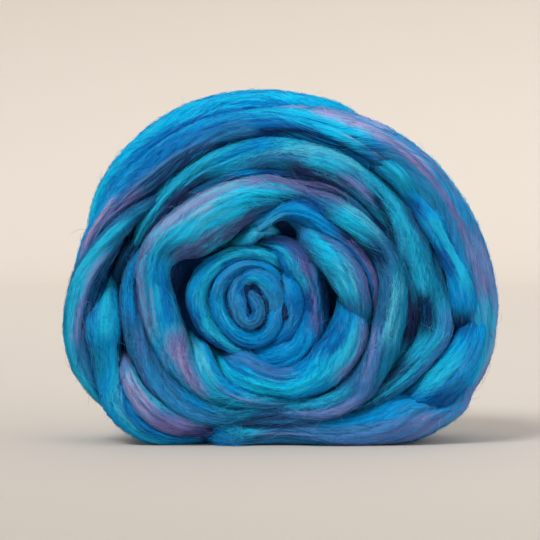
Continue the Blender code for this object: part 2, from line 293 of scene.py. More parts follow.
LAPS = {
    "outer_lap": Lap("azure", (
        (0, 134, 169.5, 46), (10, 132, 167, 47), (20, 130, 164, 48), (30, 128, 161.5, 49),
        (40, 122, 159, 50), (50, 117, 154.8, 50), (60, 114, 149.5, 50), (75, 112, 141, 50),
        (90, 108, 134, 50), (110, 103, 129, 48), (130, 99, 124, 46), (150, 102, 123, 42),
        (160, 100, 124.5, 38), (170, 98, 124, 34), (195, 96, 123, 30), (220, 92, 119, 30),
        (250, 72, 100, 30), (270, 66, 95, 30), (290, 72, 100, 30), (310, 92, 124, 30),
        (330, 122, 158, 37), (340, 132, 165.5, 41), (350, 134, 169, 44), (360, 134, 169.5, 46),
    ), (
        Stripe("steel", 0.22, ((-14, 0.6), (8, 0.56), (24, 0.5), (40, 0.47), (52, 0.5))),
        Stripe("teal", 0.14, ((24, 0.26), (38, 0.26), (50, 0.3), (58, 0.4))),
        Stripe("cobalt", 0.24, ((54, 0.5), (70, 0.55), (86, 0.58), (100, 0.5), (112, 0.4))),
        Stripe("royal", 0.16, ((50, 0.46), (62, 0.5), (74, 0.5), (86, 0.42), (100, 0.34),
                               (112, 0.3))),
        # painted shade: navy along the outer lap's lower side at the top, which faces down
        Stripe("navy", 0.17, ((40, 0.2), (52, 0.3), (60, 0.34), (70, 0.33), (80, 0.27),
                              (92, 0.18), (106, 0.08))),
        # painted highlight: bright cyan along the top of the outer lap, where the light from above
        # falls
        Stripe("cyan", 0.14, ((54, 0.62), (64, 0.69), (74, 0.79), (84, 0.9), (92, 0.97))),
        Stripe("steel", 0.20, ((88, 0.5), (104, 0.5), (125, 0.52), (150, 0.6), (165, 0.75))),
        Stripe("slate", 0.14, ((104, 0.3), (118, 0.3), (132, 0.32), (146, 0.36))),
        Stripe("plum", 0.07, ((102, 0.2), (116, 0.18), (128, 0.2), (142, 0.26))),
        Stripe("navy", 0.12, ((124, 0.05), (140, 0.06), (158, 0.08))),
        Stripe("teal", 0.14, ((148, 0.34), (158, 0.38), (168, 0.42))),
        Stripe("mauve", 0.14, ((134, 0.42), (143, 0.52), (152, 0.63), (164, 0.82), (174, 0.97))),
        Stripe("cobalt", 0.13, ((78, 0.68), (90, 0.76), (112, 0.76), (126, 0.77), (142, 0.8))),
        Stripe("periwinkle", 0.10, ((104, 0.52), (118, 0.54), (132, 0.58), (146, 0.68))),
        Stripe("cobalt", 0.06, ((112, 0.94), (124, 0.95), (136, 0.96))),
        Stripe("lavender", 0.07, ((142, 0.84), (154, 0.9), (168, 0.99))),
        Stripe("navy", 0.20, ((-16, 0.25), (-8, 0.3), (0, 0.3), (8, 0.2))),
        Stripe("azure", 0.12, ((-40, 0.5), (-24, 0.6), (-12, 0.6))),
        Stripe("turquoise", 0.08, ((-26, 0.8), (-10, 0.8), (2, 0.74))),
        Stripe("steel", 0.11, ((4, 0.96), (20, 0.9), (34, 0.88), (46, 0.92), (56, 1.0))),
        Stripe("lavender", 0.11, ((36, 0.74), (50, 0.78), (60, 0.86), (70, 0.97), (80, 1.15))),
        Stripe("mauve", 0.10, ((2, 0.84), (14, 0.76), (28, 0.71), (40, 0.69), (52, 0.76))),
        Stripe("lilac", 0.09, ((-34, 1.04), (-10, 1.0), (0, 0.93), (10, 0.84), (18, 0.77))),
        Stripe("lilac", 0.10, ((-20, 1.25), (4, 1.22), (30, 1.16), (54, 1.14), (76, 1.2))),
        Stripe("azure", 0.07, ((6, 1.08), (20, 1.05), (34, 1.03), (48, 1.06), (60, 1.1))),
        Stripe("turquoise", 0.12, ((176, 0.9), (200, 0.85), (225, 0.9), (250, 0.9))),
        Stripe("cobalt", 0.30, ((185, 0.4), (215, 0.45), (250, 0.5), (300, 0.5))),
    )),
    "azure_bundle": Lap("azure", (
        (-13, 141, 148, 38), (-6, 138, 150, 46), (1, 135, 152, 52), (8, 134, 150, 54),
        (14, 132, 145.5, 50), (19, 130, 143.5, 50), (25, 128, 143, 53), (31, 128, 141, 50),
        (36, 127, 141, 50), (42, 126, 141.5, 54), (48, 124.5, 139, 51), (55, 123, 133, 44),
    ), (
        Stripe("navy", 0.60, ((-13, 0.4), (-6, 0.35), (-1, 0.3))),
        Stripe("royal", 0.28, ((8, 0.2), (13, 0.25), (19, 0.2))),
        Stripe("turquoise", 0.22, ((4, 0.7), (12, 0.7), (20, 0.6), (27, 0.5))),
        Stripe("royal", 0.30, ((27, 0.2), (32, 0.25), (37, 0.2))),
        Stripe("teal", 0.60, ((34, 0.5), (42, 0.5), (50, 0.5))),
        Stripe("turquoise", 0.20, ((38, 0.6), (43, 0.6), (47, 0.6))),
        Stripe("royal", 0.80, ((50, 0.5), (62, 0.5))),
    )),
    "second_lap": Lap("turquoise", (
        (300, 92, 100, 42), (312, 96, 104, 45), (322, 100, 110, 47), (332, 105, 119, 50),
        (342, 110, 129, 52), (351, 115, 137.5, 53), (360, 114, 136, 51), (370, 110, 131, 50),
        (380, 107, 129, 51), (390, 105, 126.5, 50), (398, 102, 124.5, 50), (408, 100, 122.5, 51),
        (418, 99, 121, 53), (430, 96, 119, 53), (440, 96, 116.5, 53), (450, 92, 113.5, 52),
        (460, 91, 109, 52), (470, 92, 105, 50), (480, 89, 101, 49), (490, 86, 98, 48),
        (501, 84, 95, 47), (512, 83, 92, 44), (524, 84, 91, 40),
    ), (
        Stripe("slate", 0.60, ((300, 0.4), (316, 0.4), (328, 0.35), (342, 0.1))),
        Stripe("sky", 0.34, ((330, 0.75), (342, 0.75), (352, 0.75), (361, 0.8))),
        Stripe("turquoise", 0.12, ((318, 0.45), (330, 0.45), (342, 0.55), (353, 0.6))),
        Stripe("periwinkle", 0.12, ((336, 0.85), (346, 0.88), (358, 0.85))),
        Stripe("navy", 0.30, ((350, 0.1), (358, 0.2), (366, 0.15))),
        Stripe("slate", 0.22, ((362, 0.8), (374, 0.82), (384, 0.92), (394, 1.0))),
        Stripe("teal", 0.20, ((360, 0.6), (372, 0.6), (382, 0.7))),
        Stripe("steel", 0.34, ((397, 0.34), (407, 0.4), (416, 0.4))),
        Stripe("lilac", 0.10, ((400, 0.36), (408, 0.4), (416, 0.36))),
        Stripe("turquoise", 0.13, ((364, 0.12), (372, 0.2), (380, 0.38), (389, 0.64),
                                   (398, 0.77), (408, 0.81), (418, 0.86))),
        Stripe("steel", 0.10, ((370, 0.05), (380, 0.16), (388, 0.36))),
        # painted shade: navy along the hollow where the second lap passes into shadow at the
        # crossing
        Stripe("navy", 0.17, ((384, 0.0), (389, 0.12), (394, 0.32), (399, 0.48), (404, 0.54))),
        Stripe("plum", 0.20, ((409, 0.02), (419, 0.1), (430, 0.08), (437, 0.0))),
        Stripe("aqua", 0.13, ((410, 0.85), (424, 0.8), (436, 0.6), (446, 0.45))),
        Stripe("steel", 0.16, ((428, 0.5), (436, 0.35), (446, 0.2), (456, 0.1))),
        Stripe("azure", 0.22, ((440, 0.8), (452, 0.7), (464, 0.5))),
        Stripe("turquoise", 0.14, ((464, 0.7), (478, 0.75), (490, 0.6), (504, 0.7), (518, 0.8))),
        Stripe("slate", 0.24, ((466, 0.2), (482, 0.25), (500, 0.2), (524, 0.3))),
        Stripe("plum", 0.10, ((470, 0.1), (486, 0.15), (500, 0.1))),
    )),
    "third_lap": Lap("slate", (
        (308, 94, 101, 38), (325, 97, 108, 40), (345, 101, 116, 42), (360, 102, 116, 44),
        (372, 101, 112, 46), (385, 99, 109, 44), (395, 96, 107, 42), (405, 94, 105, 44),
        (415, 91, 104, 46), (425, 87, 101, 46), (435, 87, 98, 46), (445, 87, 97, 47),
        (455, 86, 95.5, 48), (465, 86, 94, 45), (475, 84, 91, 44), (490, 80, 88, 44),
        (505, 80, 89, 43), (520, 84, 95, 42), (532, 86, 97, 38),
    ), (
        Stripe("teal", 0.24, ((326, 0.5), (338, 0.5), (347, 0.5))),
        Stripe("dusk", 0.34, ((346, 0.6), (354, 0.55), (362, 0.6))),
        Stripe("teal", 0.24, ((362, 0.6), (372, 0.5), (382, 0.5))),
        Stripe("plum", 0.30, ((352, 0.2), (362, 0.3), (372, 0.1))),
        Stripe("navy", 0.30, ((384, 0.5), (391, 0.6), (397, 0.85))),
        Stripe("sky", 0.34, ((396, 0.3), (404, 0.35), (413, 0.3))),
        Stripe("mauve", 0.12, ((408, 0.5), (416, 0.4), (426, 0.3), (436, 0.2))),
        Stripe("dusk", 0.24, ((416, 0.75), (425, 0.75), (434, 0.7))),
        Stripe("royal", 0.30, ((436, 0.4), (443, 0.4), (449, 0.3))),
        Stripe("azure", 0.26, ((447, 0.4), (456, 0.55), (466, 0.7))),
        Stripe("navy", 0.16, ((464, 0.9), (474, 0.88), (486, 0.75))),
        Stripe("sky", 0.26, ((456, 0.4), (467, 0.28), (478, 0.24), (488, 0.2))),
        Stripe("plum", 0.20, ((480, 0.5), (496, 0.6), (510, 0.5))),
        Stripe("navy", 0.24, ((505, 0.3), (528, 0.3))),
    )),
    "big_ring": Lap("steel", (
        (148, 80, 86, 46), (165, 79, 88, 51), (180, 75, 88, 53), (200, 73, 88, 55),
        (220, 70, 90, 56), (240, 70, 88, 56), (255, 71, 84, 55), (270, 68, 80.5, 54),
        (290, 70, 85, 54), (305, 76, 94, 56), (320, 80, 100, 57), (335, 82, 103, 58),
        (350, 83, 105, 58), (362, 86, 106, 57), (374, 88, 105, 55), (383, 87, 103, 53),
        (390, 84, 101, 55), (397, 80, 99, 58), (404, 77, 97, 59), (411, 77, 94, 56),
        (419, 79, 91, 52), (430, 80, 88, 45), (442, 81, 87, 38),
    ), (
        Stripe("azure", 0.24, ((158, 0.5), (172, 0.55), (188, 0.5))),
        Stripe("periwinkle", 0.16, ((192, 0.3), (202, 0.5), (212, 0.75), (222, 0.85))),
        Stripe("sky", 0.22, ((206, 0.4), (222, 0.6), (240, 0.8), (252, 0.75))),
        Stripe("azure", 0.16, ((229, 0.2), (240, 0.26), (250, 0.2))),
        Stripe("turquoise", 0.07, ((232, 0.02), (246, 0.06), (258, 0.2), (264, 0.34))),
        Stripe("teal", 0.22, ((256, 0.6), (268, 0.4), (280, 0.3))),
        Stripe("plum", 0.11, ((262, 0.9), (272, 0.78), (282, 0.58), (292, 0.36), (302, 0.2))),
        Stripe("slate", 0.16, ((270, 0.5), (280, 0.32), (290, 0.16))),
        Stripe("periwinkle", 0.22, ((288, 0.5), (300, 0.6), (314, 0.8), (326, 0.9))),
        Stripe("lilac", 0.09, ((290, 0.35), (300, 0.55), (310, 0.72), (322, 0.78))),
        Stripe("turquoise", 0.18, ((288, 0.15), (300, 0.16), (312, 0.2), (320, 0.3))),
        Stripe("periwinkle", 0.18, ((318, 0.7), (328, 0.55), (340, 0.35), (352, 0.2))),
        Stripe("lilac", 0.08, ((326, 0.4), (338, 0.25), (350, 0.12))),
        Stripe("teal", 0.24, ((330, 0.9), (345, 0.85), (362, 0.85), (378, 0.9))),
        Stripe("aqua", 0.16, ((345, 0.5), (358, 0.5), (372, 0.6))),
        Stripe("navy", 0.26, ((376, 0.3), (382, 0.35), (388, 0.25))),
        Stripe("turquoise", 0.34, ((389, 0.5), (398, 0.5), (410, 0.45))),
        Stripe("cyan", 0.18, ((396, 0.36), (402, 0.4), (408, 0.4))),
        Stripe("aqua", 0.10, ((388, 0.8), (400, 0.85), (410, 0.8))),
        Stripe("mauve", 0.15, ((409, 0.9), (418, 0.82), (428, 0.75), (440, 0.7))),
        Stripe("royal", 0.30, ((411, 0.1), (420, 0.2), (436, 0.2))),
    )),
    "bright_lap": Lap("turquoise", (
        (44, 80, 86, 38), (54, 77, 87, 43), (62, 75, 88.5, 48), (70, 71, 89, 53),
        (80, 64, 89.5, 57), (92, 56, 88, 59), (104, 49, 86, 60), (118, 46, 85, 60),
        (130, 47, 84, 60), (138, 51, 84, 60), (146, 58, 84, 60), (154, 61, 83, 59),
        (163, 58, 81.5, 58), (173, 52, 79, 57), (188, 48, 76, 56), (205, 48, 72, 56),
        (225, 53, 71, 57), (245, 60, 70, 56), (270, 59, 69, 54), (290, 64, 73, 52),
        (320, 74, 80, 44),
    ), (
        Stripe("steel", 0.60, ((44, 0.5), (62, 0.5), (70, 0.5))),
        # painted shadow: navy on the inner side of the bright lap near its start
        Stripe("navy", 0.30, ((62, 0.1), (71, 0.15), (79, 0.0))),
        Stripe("cyan", 0.16, ((77, 0.45), (88, 0.45), (100, 0.5))),
        Stripe("aqua", 0.08, ((92, 0.7), (108, 0.72), (125, 0.7), (138, 0.76), (152, 0.8))),
        # painted shade: the two slate stripes darken the inner side of the bright lap where it lies
        # in shade
        Stripe("slate", 0.22, ((74, 0.1), (84, 0.16), (93, 0.18), (100, 0.06))),
        Stripe("slate", 0.22, ((132, 0.06), (142, 0.16), (152, 0.14))),
        Stripe("teal", 0.20, ((138, 0.44), (146, 0.46), (154, 0.4))),
        Stripe("grape", 0.14, ((86, 0.04), (96, 0.13), (110, 0.18), (126, 0.18), (138, 0.14),
                               (150, 0.06))),
        Stripe("azure", 0.30, ((152, 0.3), (165, 0.36), (180, 0.36), (198, 0.4))),
        Stripe("cobalt", 0.16, ((160, 0.12), (176, 0.16), (192, 0.2))),
        Stripe("turquoise", 0.08, ((158, 0.5), (172, 0.58), (188, 0.62), (204, 0.7))),
        Stripe("mauve", 0.14, ((52, 0.8), (62, 0.82), (70, 0.86), (80, 0.92), (92, 0.95))),
        Stripe("lilac", 0.12, ((84, 0.9), (100, 0.89), (115, 0.88), (130, 0.89), (150, 0.92))),
        Stripe("lavender", 0.05, ((90, 0.87), (108, 0.86), (124, 0.87), (140, 0.9))),
        Stripe("mauve", 0.13, ((146, 0.88), (160, 0.84), (172, 0.82), (186, 0.84), (200, 0.92))),
        Stripe("lilac", 0.07, ((154, 0.82), (170, 0.78), (186, 0.78), (198, 0.84))),
        Stripe("lilac", 0.34, ((197, 0.2), (208, 0.36), (220, 0.46), (234, 0.5), (244, 0.6))),
        Stripe("mauve", 0.11, ((200, 0.1), (212, 0.3), (224, 0.5), (236, 0.66))),
        Stripe("lavender", 0.08, ((208, 0.3), (218, 0.45), (230, 0.56))),
        Stripe("azure", 0.14, ((196, 0.9), (212, 0.92), (228, 0.9))),
        Stripe("teal", 0.50, ((243, 0.5), (262, 0.5), (290, 0.5), (320, 0.5))),
        Stripe("turquoise", 0.16, ((248, 0.2), (262, 0.4), (280, 0.5))),
        Stripe("periwinkle", 0.10, ((266, 0.5), (278, 0.6), (292, 0.6))),
    )),
    "bright_loop": Lap("turquoise", (
        (212, 44, 49, 42), (219, 41, 52, 49), (228, 42, 57, 54), (240, 47, 62, 56),
        (256, 55, 66, 56), (274, 60, 69, 54), (290, 64, 71, 49), (304, 68, 73, 43),
    ), (
        Stripe("aqua", 0.12, ((222, 0.5), (232, 0.45), (243, 0.4))),
        Stripe("azure", 0.20, ((218, 0.05), (232, 0.05), (250, 0.1), (268, 0.1))),
        Stripe("periwinkle", 0.24, ((246, 0.6), (258, 0.6), (274, 0.6), (286, 0.6))),
        Stripe("lilac", 0.10, ((258, 0.5), (268, 0.5), (276, 0.5))),
        Stripe("teal", 0.50, ((284, 0.5), (304, 0.5))),
    )),
    "lower_inner_lap": Lap("azure", (
        (236, 36, 44, 43), (250, 31, 54, 53), (265, 30, 58, 57), (280, 36, 62, 58),
        (294, 45, 69, 59), (306, 50, 74, 59), (316, 51, 78.5, 60), (330, 51, 82, 60),
        (342, 54, 83, 58), (350, 56, 81, 56), (357, 58, 77.5, 53), (364, 60, 73, 48),
        (372, 61, 69, 42),
    ), (
        Stripe("cyan", 0.20, ((262, 0.75), (280, 0.7), (298, 0.6), (312, 0.5), (326, 0.5))),
        Stripe("periwinkle", 0.13, ((243, 0.1), (258, 0.2), (275, 0.24), (290, 0.22),
                                    (304, 0.12))),
        Stripe("turquoise", 0.20, ((314, 0.75), (326, 0.65), (340, 0.6), (352, 0.6))),
        Stripe("cobalt", 0.20, ((324, 0.1), (336, 0.25), (348, 0.3), (356, 0.2))),
        Stripe("lilac", 0.12, ((318, 0.92), (330, 0.86), (344, 0.85), (354, 0.9))),
        Stripe("navy", 0.80, ((361, 0.5), (372, 0.5))),
    )),
    "arch": Lap("cobalt", (
        (-4, 80, 87, 46), (12, 80, 88, 52), (28, 75, 84, 55), (45, 67, 80, 57),
        (60, 66, 80, 57), (71, 62, 77, 56), (81, 50, 68, 52), (91, 45, 60, 48), (100, 42, 54, 41),
    ), (
        Stripe("azure", 0.34, ((40, 0.5), (52, 0.55), (68, 0.55), (80, 0.5), (88, 0.5))),
        Stripe("navy", 0.24, ((-4, 0.9), (14, 0.9), (32, 0.85), (42, 0.8))),
        Stripe("mauve", 0.12, ((-2, 0.55), (14, 0.6), (28, 0.6), (38, 0.55))),
        Stripe("royal", 0.16, ((46, 0.95), (60, 0.95), (76, 0.9))),
        Stripe("aqua", 0.10, ((70, 0.25), (78, 0.3), (88, 0.35))),
    )),
    "inner_right_bulge": Lap("steel", (
        (-18, 75, 80, 44), (-10, 71, 81, 50), (-3, 66, 82, 54), (4, 61, 82, 57),
        (12, 57, 82, 59),
        (20, 55, 81, 60), (33, 53, 77, 61), (44, 53, 72, 59), (51, 54, 71.5, 57),
        (60, 58.5, 71, 52),
    ), (
        Stripe("teal", 0.60, ((-18, 0.5), (-8, 0.5), (-3, 0.5))),
        Stripe("turquoise", 0.20, ((2, 0.35), (14, 0.25), (26, 0.3), (36, 0.35))),
        Stripe("cyan", 0.17, ((26, 0.3), (34, 0.4), (42, 0.45), (48, 0.5))),
        Stripe("periwinkle", 0.20, ((4, 0.75), (18, 0.72), (32, 0.75), (44, 0.8))),
        Stripe("aqua", 0.08, ((4, 0.55), (16, 0.55), (30, 0.6))),
        Stripe("sky", 0.40, ((48, 0.5), (56, 0.5), (62, 0.5))),
        Stripe("mauve", 0.06, ((2, 0.95), (14, 0.95), (28, 0.95))),
    )),
    "curl": Lap("sky", (
        (81, 47, 59, 48), (86, 43, 57, 52), (92, 40.5, 53, 51), (100, 39.5, 49, 47),
        (107, 39, 46, 42),
    ), (
        Stripe("turquoise", 0.34, ((74, 0.5), (84, 0.5), (93, 0.5))),
        Stripe("aqua", 0.10, ((66, 0.3), (76, 0.35), (88, 0.5))),
    )),
    "left_strand": Lap("steel", (
        (122, 93, 98, 41), (132, 93, 101, 45), (141, 95, 106, 49), (150, 97, 110, 52),
        (160, 99, 116, 53), (170, 103, 122.5, 52), (180, 107, 126, 51), (190, 112, 128.5, 50),
        (199, 115, 128.5, 48), (208, 116, 125.5, 44), (218, 114, 121, 38),
    ), (
        Stripe("slate", 0.80, ((122, 0.5), (136, 0.5), (146, 0.4))),
        Stripe("teal", 0.24, ((136, 0.5), (146, 0.4), (156, 0.4))),
        Stripe("turquoise", 0.26, ((145, 0.5), (154, 0.62), (166, 0.72), (180, 0.78),
                                   (192, 0.8), (204, 0.75), (214, 0.7))),
        Stripe("lilac", 0.12, ((160, 0.36), (172, 0.42), (184, 0.4), (192, 0.42))),
        Stripe("navy", 0.10, ((154, 0.03), (168, 0.05), (182, 0.05), (196, 0.06))),
        Stripe("teal", 0.14, ((172, 0.98), (186, 0.98), (202, 0.98))),
    )),
    "left_bulge": Lap("azure", (
        (168, 94, 99, 39), (175, 91, 104, 48), (183, 89, 110, 55), (190, 89, 113, 57),
        (198, 93, 114, 53), (206, 96, 117, 53), (214, 100, 120, 54), (223, 103, 120, 53),
        (235, 101, 114, 49), (246, 94, 105, 44), (256, 87, 97, 38),
    ), (
        Stripe("turquoise", 0.26, ((176, 0.5), (184, 0.42), (193, 0.45))),
        Stripe("teal", 0.24, ((194, 0.7), (200, 0.7), (207, 0.75))),
        Stripe("navy", 0.16, ((192, 0.02), (200, 0.05), (208, 0.02))),
        Stripe("turquoise", 0.10, ((196, 0.25), (204, 0.3), (210, 0.5), (216, 0.68), (228, 0.75),
                                   (240, 0.8))),
        Stripe("cobalt", 0.14, ((210, 0.25), (220, 0.42), (232, 0.45), (244, 0.45))),
        Stripe("aqua", 0.06, ((206, 0.2), (212, 0.4), (219, 0.6), (228, 0.62))),
        Stripe("plum", 0.08, ((178, 0.92), (190, 0.95), (204, 0.97))),
    )),
    "lower_left_lap": Lap("lilac", (
        (195, 92, 96, 42), (205, 90, 100, 51), (214, 90, 103.5, 55), (224, 89, 105, 56),
        (234, 87, 102.5, 55), (243, 85, 98, 53), (250, 83, 93.5, 50), (256, 82, 89, 46),
        (262, 82, 87, 41),
    ), (
        Stripe("dusk", 0.80, ((195, 0.5), (202, 0.5))),
        Stripe("periwinkle", 0.26, ((203, 0.4), (214, 0.32), (226, 0.3), (238, 0.35))),
        Stripe("lavender", 0.10, ((208, 0.5), (218, 0.52), (228, 0.6))),
        Stripe("aqua", 0.06, ((206, 0.26), (218, 0.3), (230, 0.3))),
        Stripe("mauve", 0.30, ((228, 0.75), (238, 0.7), (248, 0.6), (260, 0.5))),
        Stripe("plum", 0.22, ((240, 0.85), (250, 0.7), (262, 0.5))),
        Stripe("steel", 0.12, ((204, 0.96), (216, 0.95), (228, 0.98))),
        Stripe("turquoise", 0.09, ((206, 0.05), (220, 0.1), (236, 0.12), (250, 0.14))),
    )),
    "bottom_lap": Lap("azure", (
        (226, 90, 100, 24), (240, 86, 98, 32), (248, 85, 96, 40), (255, 82, 96, 46),
        (262, 80, 95.5, 49), (270, 79, 94.5, 50), (284, 79, 96, 50), (296, 85, 106, 53),
        (306, 93, 120, 54), (313, 98, 132, 54), (319, 103, 142, 54), (324, 108.5, 149.5, 54),
        (328, 114, 154.5, 52), (331, 124, 158.5, 50), (334, 140, 161, 46), (338, 147, 161, 40),
        (343, 149, 158, 32), (350, 148, 155, 24),
    ), (
        Stripe("royal", 0.80, ((226, 0.5), (256, 0.5))),
        Stripe("steel", 0.40, ((258, 0.6), (278, 0.7), (292, 0.85))),
        Stripe("turquoise", 0.20, ((262, 0.4), (269, 0.38), (277, 0.42))),
        Stripe("plum", 0.15, ((268, 0.04), (277, 0.16), (287, 0.26), (300, 0.22))),
        Stripe("lilac", 0.06, ((272, 0.5), (284, 0.56), (298, 0.52))),
        Stripe("periwinkle", 0.20, ((290, 0.62), (304, 0.62), (318, 0.6), (330, 0.6))),
        Stripe("steel", 0.16, ((324, 0.4), (332, 0.4), (344, 0.4))),
        Stripe("turquoise", 0.10, ((296, 1.15), (315, 1.2), (335, 1.15))),
        Stripe("lilac", 0.08, ((306, 1.35), (322, 1.4), (345, 1.3))),
        Stripe("mauve", 0.08, ((300, 0.88), (318, 0.86), (330, 0.84))),
        Stripe("lilac", 0.08, ((322, 0.9), (334, 0.9), (350, 0.9))),
        # painted shade: a thin dusk line darkens the groove at the outer edge
        Stripe("dusk", 0.04, ((304, 0.97), (318, 0.96), (328, 0.97))),
        Stripe("steel", 0.08, ((286, 0.42), (302, 0.42), (316, 0.42))),
    )),
    "right_fan": Lap("azure", (
        (318, 113, 134, 28), (325, 116, 146, 38), (330, 119, 151, 47), (335, 123, 154, 53),
        (341, 128, 156.5, 56), (347, 134, 158.5, 55), (352, 140, 159, 52), (357, 145, 158, 47),
        (362, 149, 157, 41),
    ), (
        Stripe("navy", 0.80, ((318, 0.5), (326, 0.5), (330, 0.5))),
        Stripe("royal", 0.30, ((328, 0.75), (334, 0.7), (340, 0.75))),
        Stripe("turquoise", 0.16, ((333, 0.25), (340, 0.35), (348, 0.5))),
        Stripe("cyan", 0.08, ((333, 0.1), (342, 0.15), (352, 0.25))),
        Stripe("sky", 0.08, ((336, 0.6), (344, 0.65), (352, 0.7))),
        Stripe("royal", 0.40, ((352, 0.2), (364, 0.2))),
    )),
    "rear_top_lap": Lap("azure", (
        (34, 106, 130, -14), (46, 111, 137, -6), (55, 117, 145.5, 3), (64, 120.5, 149.5, 10),
        (76, 119, 147.5, 15), (90, 118, 145.5, 18), (110, 115, 142.5, 20),
        (128, 110, 137.5, 19), (145, 103, 130.5, 14), (158, 96, 122, 6), (170, 88, 112, -4),
        (182, 82, 104, -12),
    ), (
        Stripe("cyan", 0.12, ((58, 0.95), (90, 0.9), (130, 0.9), (165, 0.9))),
        Stripe("cobalt", 0.20, ((40, 0.4), (90, 0.5), (150, 0.5))),
        Stripe("turquoise", 0.10, ((40, 1.3), (80, 1.2), (120, 1.35), (160, 1.2))),
        Stripe("sky", 0.08, ((60, 1.6), (100, 1.55), (140, 1.65))),
    )),
    "roll_fifth_turn": Lap("azure", (
        (256, 33, 41, 43), (270, 30, 46, 49), (290, 30, 49, 50.5), (310, 31, 52, 50),
        (335, 33, 53, 50),
        (355, 35, 52, 48), (375, 36, 51.5, 48), (400, 32, 54, 49), (420, 35, 53, 48),
        (440, 38, 46, 42),
    ), (
        Stripe("navy", 0.24, ((340, 0.98), (358, 0.95), (378, 0.9), (392, 1.0))),
        Stripe("iris", 0.16, ((332, 0.8), (344, 0.6), (358, 0.45), (374, 0.4), (390, 0.5),
                              (404, 0.75), (424, 0.85))),
        Stripe("mauve", 0.06, ((340, 0.7), (358, 0.5), (376, 0.45), (392, 0.55), (410, 0.8))),
        Stripe("royal", 0.22, ((346, 0.15), (366, 0.1), (386, 0.15))),
        Stripe("turquoise", 0.14, ((376, 0.2), (394, 0.3), (412, 0.4), (430, 0.5))),
        Stripe("cobalt", 0.14, ((396, 0.1), (412, 0.12), (432, 0.2))),
    )),
    "roll_right_turn": Lap("azure", (
        (280, 23, 32, 42), (300, 25, 34, 46), (320, 25, 37, 48), (345, 24, 38, 48.5),
        (362, 21.5, 38, 49), (376, 20.5, 37, 49), (390, 22, 36, 48), (402, 25, 35, 45),
        (414, 28, 34, 40),
    ), (
        Stripe("cobalt", 0.30, ((300, 0.7), (340, 0.6), (380, 0.6))),
        Stripe("sky", 0.12, ((325, 0.3), (345, 0.3), (370, 0.3), (395, 0.4))),
    )),
    "roll_fourth_turn": Lap("turquoise", (
        (45, 29, 37, 44), (65, 31, 38, 47), (90, 32, 40, 48), (120, 32, 41, 48),
        (145, 31, 44, 48), (165, 29, 45, 47), (185, 27, 42, 46), (210, 26.5, 39, 46),
        (240, 26, 36, 46), (258, 27, 37, 46), (274, 28, 36, 42),
    ), (
        Stripe("azure", 0.26, ((120, 0.85), (150, 0.8), (175, 0.75), (200, 0.7))),
        Stripe("royal", 0.20, ((176, 0.9), (200, 0.9), (225, 0.8), (245, 0.7))),
        Stripe("teal", 0.18, ((48, 0.3), (80, 0.3), (110, 0.3))),
        Stripe("royal", 0.13, ((92, 0.1), (112, 0.13), (130, 0.1))),
    )),
    "roll_third_turn": Lap("azure", (
        (20, 20, 26, 41), (40, 22, 28.5, 45), (60, 24.5, 30.5, 48), (80, 26, 32, 49),
        (100, 25, 32.5, 50), (120, 22, 32, 50), (140, 20, 30.5, 50), (160, 18.5, 28.5, 50),
        (180, 17.5, 27, 50), (205, 16.8, 26, 50), (230, 16.2, 26, 50), (255, 16.6, 27, 50),
        (280, 17, 28, 50), (305, 15.6, 27.6, 50), (325, 13.4, 25.5, 50), (342, 13.4, 24, 49.5),
        (356, 15.4, 23.6, 48.5), (370, 17, 23.4, 47), (386, 18, 23.4, 44), (402, 19, 23.4, 39),
    ), (
        Stripe("sky", 0.30, ((84, 0.6), (110, 0.6), (140, 0.5), (165, 0.5))),
        Stripe("turquoise", 0.10, ((150, 0.3), (180, 0.3), (210, 0.3), (240, 0.35))),
        Stripe("cobalt", 0.18, ((220, 0.85), (250, 0.85), (280, 0.85), (310, 0.85))),
        Stripe("cobalt", 0.16, ((90, 0.05), (115, 0.05), (145, 0.08))),
        Stripe("sky", 0.20, ((300, 0.4), (325, 0.5), (350, 0.5), (372, 0.5))),
    )),
}
print(f"{len(LAPS)} laps, {sum(len(lap.stripes) for lap in LAPS.values())} stripes")

# %% [markdown]
# ## A strand as a surface of two numbers
#
# Every lap is the same kind of shape: a soft oval section that travels along a course. One
# number says how far along the course, the other how far round the section. So one function
# can make the whole ball, and the same function tells later where a loose fibre has to lie.
# The course is a smooth curve through the table's rows.

# %% Smooth curves through a table
def smooth_columns(rows, at):
    """Every column after the first, read at the places of `at` on a smooth curve.

    The curve is a cubic through the rows whose slope at a row is the slope from the row
    before it to the row after it.
    """
    table = np.array(rows, float)
    place, values = table[:, 0], table[:, 1:]
    slope = np.gradient(values, place, axis=0)
    left = np.clip(np.searchsorted(place, at, side="right") - 1, 0, len(place) - 2)
    span = place[left + 1] - place[left]
    t = ((at - place[left]) / span)[..., None]
    span = span[..., None]
    return (
        values[left] * (2 * t**3 - 3 * t**2 + 1)
        + slope[left] * span * (t**3 - 2 * t**2 + t)
        + values[left + 1] * (3 * t**2 - 2 * t**3)
        + slope[left + 1] * span * (t**3 - t**2)
    )


between_squares = smooth_columns(((0, 0), (1, 1), (2, 4), (3, 9)), np.array([1.5]))
print("half way between the squares 1 and 4:", float(between_squares[0, 0]))

# %% Outline seen face on
# Angle in degrees, and how far the outline lies from the eye in millimetres
SILHOUETTE = (
    (0, 168), (20, 163), (40, 157), (60, 150), (78, 146), (96, 143), (120, 139), (140, 131),
    (160, 124), (180, 126), (195, 130), (210, 125), (230, 119), (240, 111), (255, 98),
    (270, 95.5), (285, 98.5), (300, 112), (310, 127), (320, 144), (330, 158), (345, 168),
    (360, 168),
)


def silhouette(turn):
    """How far the outline seen face on lies from the eye, at any angle in degrees."""
    return smooth_columns(SILHOUETTE, np.mod(turn, 360.0))[..., 0]


print("the outline above the eye:", round(float(silhouette(np.array([90.0]))[0]), 1), "mm")

